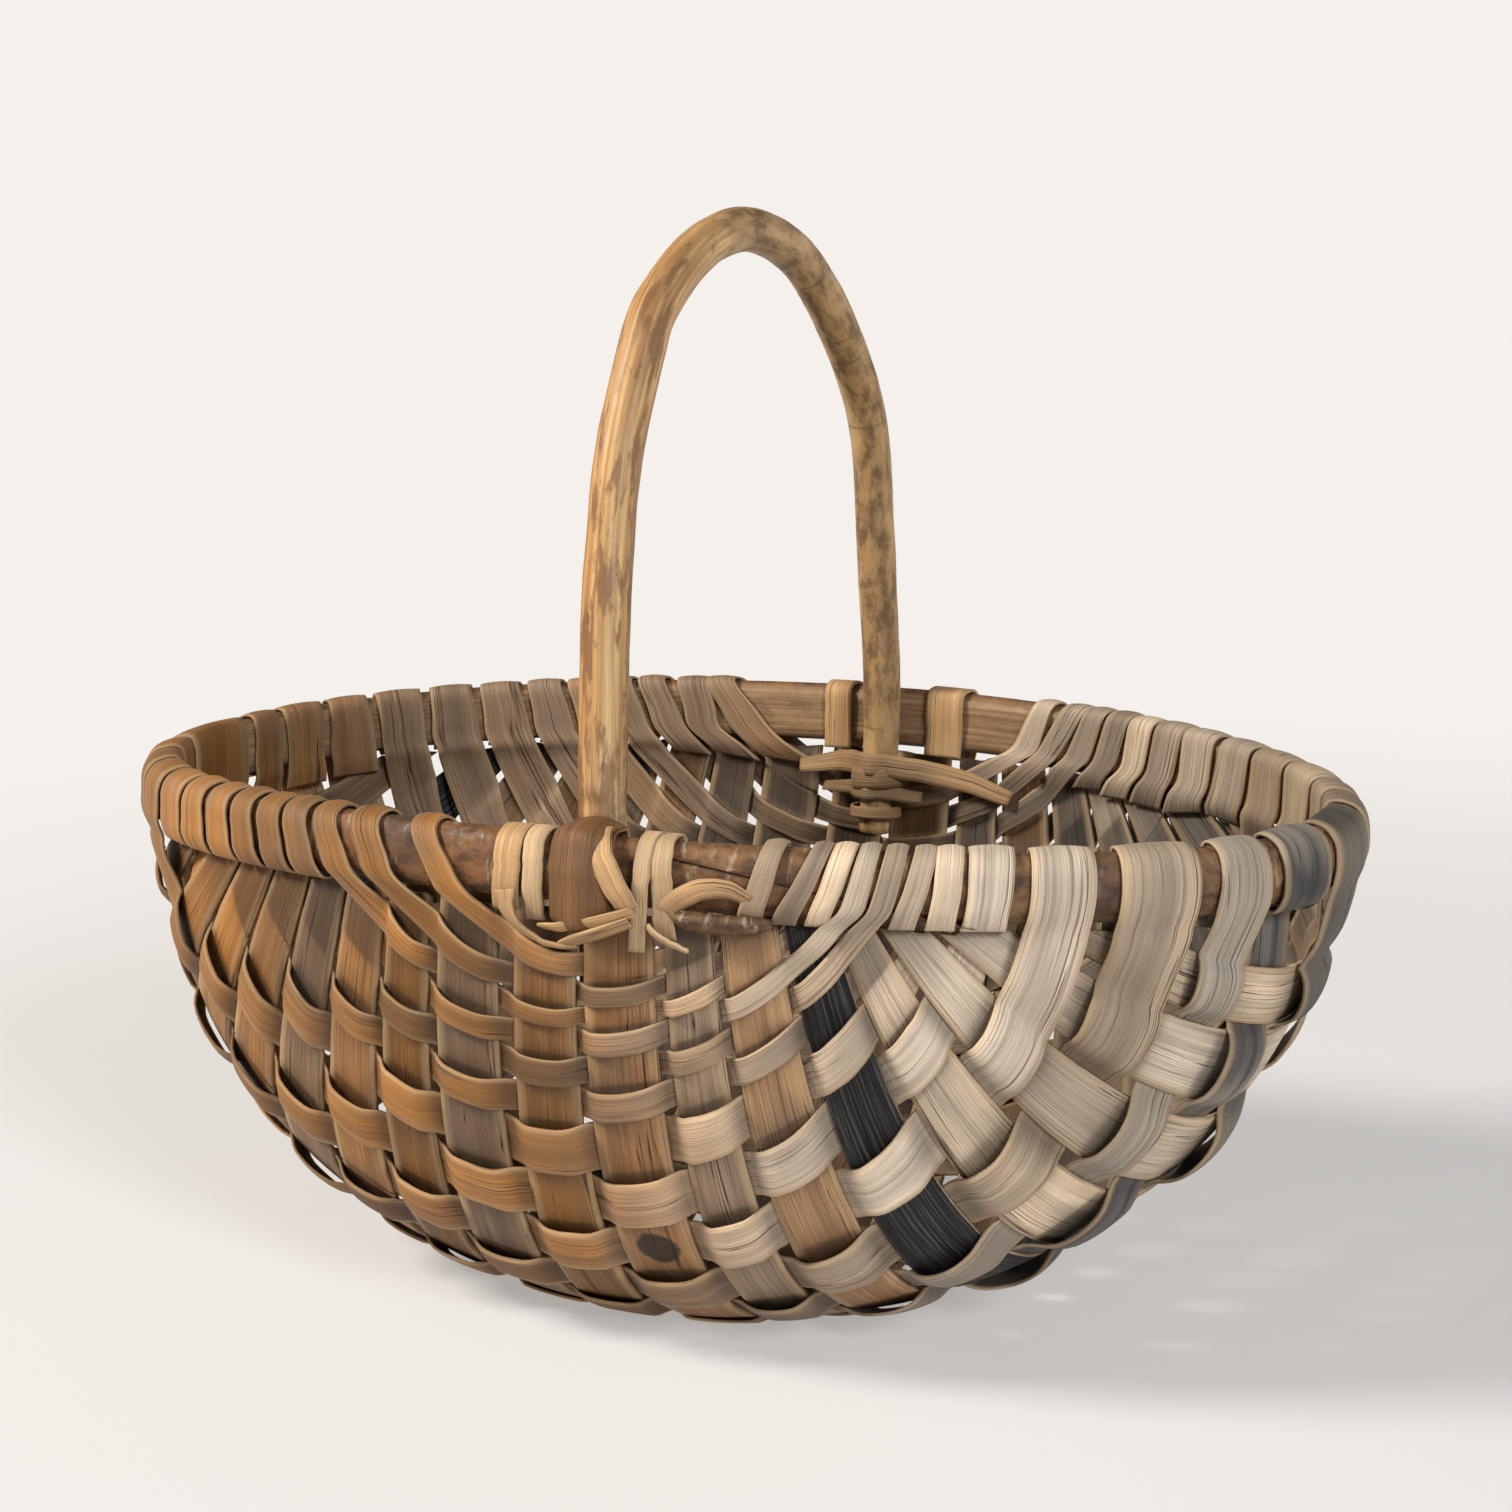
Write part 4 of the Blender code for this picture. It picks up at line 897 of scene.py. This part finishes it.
def leg_ring(node, down, wide, reach, seed, tint):
    back = node.startswith("back")
    centre = leg_point(1.0 if back else 0.0, down)
    inward = -1.0 if back else 1.0
    shares = np.linspace(-0.5, 0.5, 5)
    ctrl = []
    for step in range(13):
        turn = math.radians(-120 + 240 * step / 12)
        swell = reach + 0.0004 * (1 - (2 * shares) ** 2)
        x = centre[0] + swell * math.sin(turn) * 1.08
        y = centre[1] + inward * swell * math.cos(turn)
        z = centre[2] + wide * shares + 0.0008 * math.sin(turn * 1.3 + seed)
        ctrl.append(np.stack([x, y, z], -1))
    rows = smooth_rows(ctrl, 3)
    mesh = grid_mesh(f"look_{node}", rows, np.broadcast_to(tint, rows.shape), seed)
    return add_piece(f"look_{node}", mesh, [SPLINT, SPLINT_EDGE], [node], WEAVER_THICK)


# ---- making

LOOKS = bpy.data.collections.new("basket_looks")
bpy.context.scene.collection.children.link(LOOKS)

SPLINT = split_wood("splint_wood", 0.55, 0.30, 0.85)
SPLINT_EDGE = cut_edge()
RIB_WOOD = split_wood("rib_wood", 0.75, 0.35, 1.0, 0.28)
BRANDED_RIB, BRANDED_ROW = 9, 8
ROW = FRONT_ROWS[BRANDED_ROW]
SCORCH_PLANE = row_plane((ROW[0] + ROW[1]) / 2, (ROW[2] + ROW[3]) / 2, (ROW[4] + ROW[5]) / 2, -1)
SCORCH = place(meet(SCORCH_PLANE, BRANDED_RIB - CENTRE_RIB), 0.001)
RIB_SCORCHED = split_wood("rib_scorched", 0.75, 0.35, 1.0, 0.28, SCORCH)
RIB_DARK = black_wood()
RIM_WOOD = bark_wood()
ROD_WOOD = rod_wood()
BLACK_RIBS = (12,)
DARK_BACK_RIB = 1
GREY_RIBS = (7, 10, 4)
WARM_RIBS = (9, 11, 5, 3)

for number in range(len(RIBS)):
    rib(number, 100 + number * 13)


def far_right(rows):
    """Share of stain on the rows at the right end, in streaks along the splint."""
    streaks = 0.95 + 0.16 * wander(77, np.arange(rows.shape[1]), 1.9)[None, :]
    patches = 0.92 + 0.22 * wander(78, np.arange(rows.shape[0]), 0.13)[:, None]
    return np.clip((rows[..., 0] - 0.10) / 0.04, 0, 1) * np.clip(streaks * patches, 0, 1)


STAINED = {"front_11": (BLUISH_TAN, far_right), "front_12": (INK, far_right)}
for foot, table, side, first_seed, seed_step, slot, dark in (
    ("front", FRONT_ROWS, -1, 400, 17, "splint_gold", 0.0),
    ("back", BACK_ROWS, 1, 700, 19, "splint_pale", 0.3),
):
    for number, row in enumerate(table):
        tag = f"{foot}_{number + 1:02d}"
        near = row_plane(row[0], row[2], row[4], side)
        far = row_plane(row[1], row[3], row[5], side)
        seed = first_seed + number * seed_step
        weaver(f"look_{tag}", f"weaver_{tag}", near, far, number, seed, dark, STAINED.get(tag))
near, far = row_plane(*CENTRE_FRONT, -1), row_plane(*CENTRE_BACK, 1)
weaver("look_centre", "weaver_centre", near, far, len(FRONT_ROWS), 991, 0.0, (INK, far_right))
rim_hoop()
handle()

BIND = linear((190, 150, 104))
BIND_PALE = linear((200, 168, 128))
BIND_DARK = linear((118, 80, 44))
BARK_TINT = np.array([0.95, 0.90, 0.85])
band("front_wrap_a", -14.6, -4.4, 0.0006, (0.0150, 0.014), 0.6, 801, BIND)
band("front_wrap_b", -3.0, 4.6, 0.0006, (0.018, 0.014), 0.0, 802, BIND_PALE)
band("front_knob", 8.0, 30.0, 0.0010, (0.0165, 0.012), 0.0, 803, BIND_DARK, 0.0014, 0.0052, 15)
band("front_tail_a", 38.4, 44.2, 0.0014, (0.026, 0.012), 0.9, 805, BIND_PALE)
band("front_tail_b", 44.8, 52.2, 0.0010, (0.021, 0.012), -0.7, 806, BIND_PALE)
band("back_wrap_left", -14.0, -2.0, 0.0006, (0.018, 0.014), 0.0, 807, BIND)
band("back_wrap_right", 33.0, 50.0, 0.0006, (0.018, 0.014), 0.0, 808, BIND)
SASH = [(23.0, -4.5, 12.8, 7), (25.0, 4.5, 15.0, 8), (27.5, 11.5, 9.5, 9), (31.0, 13.4, 2.0, 9),
        (35.0, 12.4, -5.0, 9), (37.5, 10.5, -10.0, 8)]
ribbon("look_front_strap", ["front_strap"], SASH, 804, BIND)
TIE = [(50, 9.2, -9.5, 7), (56, 10.0, -4.5, 7.5), (64, 10.4, -0.8, 7), (72, 10.0, -1.2, 6), (79, 9.2, -4.5, 4.5)]
ribbon("look_front_tie", ["front_tie"], TIE, 809, BIND)
LACE_UPPER = [(4, 7.5, -19.5, 4), (10, 10.0, -18.6, 5), (20, 12.0, -16.6, 5), (30, 12.4, -13.8, 5), (39, 9.5, -11.0, 5)]
LACE_LOWER = [(12, 8.0, -25.0, 3), (18, 10.0, -22.6, 6), (28, 11.2, -18.8, 6), (38, 9.6, -14.6, 5.5)]
CURL = [(-9.5, 9.6, -7, 9), (-8, 10.4, -13, 8), (-3, 10.6, -19, 7), (4, 10.0, -23.5, 6),
        (12, 8.6, -25.5, 5), (18, 7.2, -25.5, 4)]
SCRAP = [(44, 8.8, -16, 4), (49, 9.4, -19.5, 5), (54, 9.2, -22, 5), (59, 8.4, -23.5, 3)]
SCARF_TIP = [(52, 7.0, -12.0, 3), (58, 8.6, -13.2, 7), (68, 9.0, -13.6, 8), (78, 8.6, -13.4, 7.5), (86, 7.2, -12.2, 2)]
LACES = (("a", LACE_UPPER, BIND), ("b", LACE_LOWER, BIND * 0.85), ("c", CURL, BIND), ("d", SCRAP, BIND_PALE))
for spare, route, colour in LACES:
    ribbon(f"look_front_lace_{spare}", [], route, 820 + ord(spare), colour)
ribbon("look_front_scarf_tip", [], SCARF_TIP, 830, BARK_TINT, RIM_WOOD, 0.0032)
leg_ring("back_ring_upper", 0.022, 0.009, 0.0098, 811, BIND * 0.5)
leg_ring("back_ring_lower", 0.037, 0.005, 0.0092, 812, BIND * 0.5)
leg_ring("front_ring", 0.024, 0.009, 0.0108, 813, BIND * 0.8)
BACK_STRAP = [(-24, -7.6, -22, 6), (-8, -9, -19, 8), (3, -17, -16.5, 9), (15.5, -24.8, -15.5, 9.5),
              (27, -20, -17, 9), (42, -12, -20, 9), (60, -8.4, -24, 8), (76, -7.4, -28, 6)]
BACK_STRAP_LOW = [(-12, -8, -30, 4), (2, -14, -28, 5.5), (9, -21, -27.5, 6), (16, -24.6, -27.5, 6),
                  (24, -20, -28, 6), (36, -12, -31, 5)]
ribbon("look_back_strap", [], BACK_STRAP, 841, BIND * 0.62, tilt=-0.2)
ribbon("look_back_strap_low", [], BACK_STRAP_LOW, 842, BIND * 0.45, tilt=-0.2)

# ---- floor, light and camera

CAMERA_AZIMUTH, CAMERA_ELEVATION, CAMERA_ROLL = 26.99, 12.76, -1.93
CAMERA_DISTANCE, LENS, SENSOR = 1.2, 74.70238, 36.0
SHIFT_X, SHIFT_Y = 0.0242725, 0.0167989
FLOOR_REACH = 60.0

PAPER = tuple(float(v) for v in linear((245, 240, 235)))
floor_mesh = bpy.data.meshes.new("floor")
corners = [(x * FLOOR_REACH, y * FLOOR_REACH, 0) for x, y in ((-1, -1), (1, -1), (1, 1), (-1, 1))]
floor_mesh.from_pydata(corners, [], [(0, 1, 2, 3)])
floor = bpy.data.objects.new("floor", floor_mesh)
bpy.context.scene.collection.objects.link(floor)
g = Graph("floor_paper")
paper = g.material
spot_at = g.node("ShaderNodeNewGeometry")
flat_at = g.node("ShaderNodeVectorMath", operation="MULTIPLY")
g.link(spot_at.outputs["Position"], flat_at.inputs[0])
flat_at.inputs[1].default_value = (1.0, 1.0, 0.0)
far = g.node("ShaderNodeVectorMath", operation="LENGTH")
g.link(flat_at.outputs[0], far.inputs[0])
fade = g.ramp(far.outputs["Value"], 0.45, 1.15)
g.link(g.mix(fade, (0.40, 0.392, 0.392), (0.0, 0.0, 0.0)), g.shader.inputs["Base Color"])
g.link(g.mix(fade, (0.372, 0.356, 0.342), PAPER), g.shader.inputs["Emission Color"])
g.shader.inputs["Emission Strength"].default_value = 1.0
g.shader.inputs["Roughness"].default_value = 0.95
g.shader.inputs["Specular IOR Level"].default_value = 0.0
floor_mesh.materials.append(paper)

azimuth, elevation, roll = (math.radians(a) for a in (CAMERA_AZIMUTH, CAMERA_ELEVATION, CAMERA_ROLL))
back = Vector((math.sin(azimuth) * math.cos(elevation), -math.cos(azimuth) * math.cos(elevation), math.sin(elevation)))
right = Vector((math.cos(azimuth), math.sin(azimuth), 0))
up = back.cross(right)
right_rolled = right * math.cos(roll) + up * math.sin(roll)
up_rolled = up * math.cos(roll) - right * math.sin(roll)
camera = bpy.data.objects.new("camera", bpy.data.cameras.new("camera"))
bpy.context.scene.collection.objects.link(camera)
target = Vector((SHIFT[0], SHIFT[1], RIM_Z + SHIFT[2]))
spot = target + back * CAMERA_DISTANCE
matrix = Matrix((right_rolled, up_rolled, back)).transposed().to_4x4()
matrix.translation = spot
camera.matrix_world = matrix
camera.data.sensor_width = SENSOR
camera.data.lens = LENS
camera.data.shift_x = SHIFT_X
camera.data.shift_y = SHIFT_Y
camera.data.clip_start = 0.05
bpy.context.scene.camera = camera


def area(name, place_at, size, power, colour, aim=(0, 0, 0.12)):
    light = bpy.data.lights.new(name, "AREA")
    light.shape = "DISK"
    light.size = size
    light.energy = power
    light.color = colour
    lamp = bpy.data.objects.new(name, light)
    lamp.location = place_at
    lamp.rotation_euler = (Vector(aim) - Vector(place_at)).to_track_quat("-Z", "Y").to_euler()
    bpy.context.scene.collection.objects.link(lamp)


area("key", (-2.6, -1.9, 2.9), 1.1, 215.0, (1.0, 0.95, 0.87))
area("fill", (2.9, -2.2, 2.1), 1.2, 110.0, (0.90, 0.95, 1.0))
world = bpy.data.worlds.new("studio")
world.use_nodes = True
sky = world.node_tree
toward = sky.nodes.new("ShaderNodeTexCoord")
height = sky.nodes.new("ShaderNodeSeparateXYZ")
sky.links.new(toward.outputs["Generated"], height.inputs[0])
dome = sky.nodes.new("ShaderNodeMapRange")
dome.interpolation_type = "SMOOTHSTEP"
sky.links.new(height.outputs["Z"], dome.inputs["Value"])
for name, value in (("From Min", 0.14), ("From Max", 0.42), ("To Min", 1.0), ("To Max", 0.10)):
    dome.inputs[name].default_value = value
sky.nodes["Background"].inputs["Color"].default_value = (*PAPER, 1)
sky.links.new(dome.outputs["Result"], sky.nodes["Background"].inputs["Strength"])
bpy.context.scene.world = world
bpy.context.scene.view_settings.view_transform = "Standard"
bpy.context.scene.view_settings.look = "None"
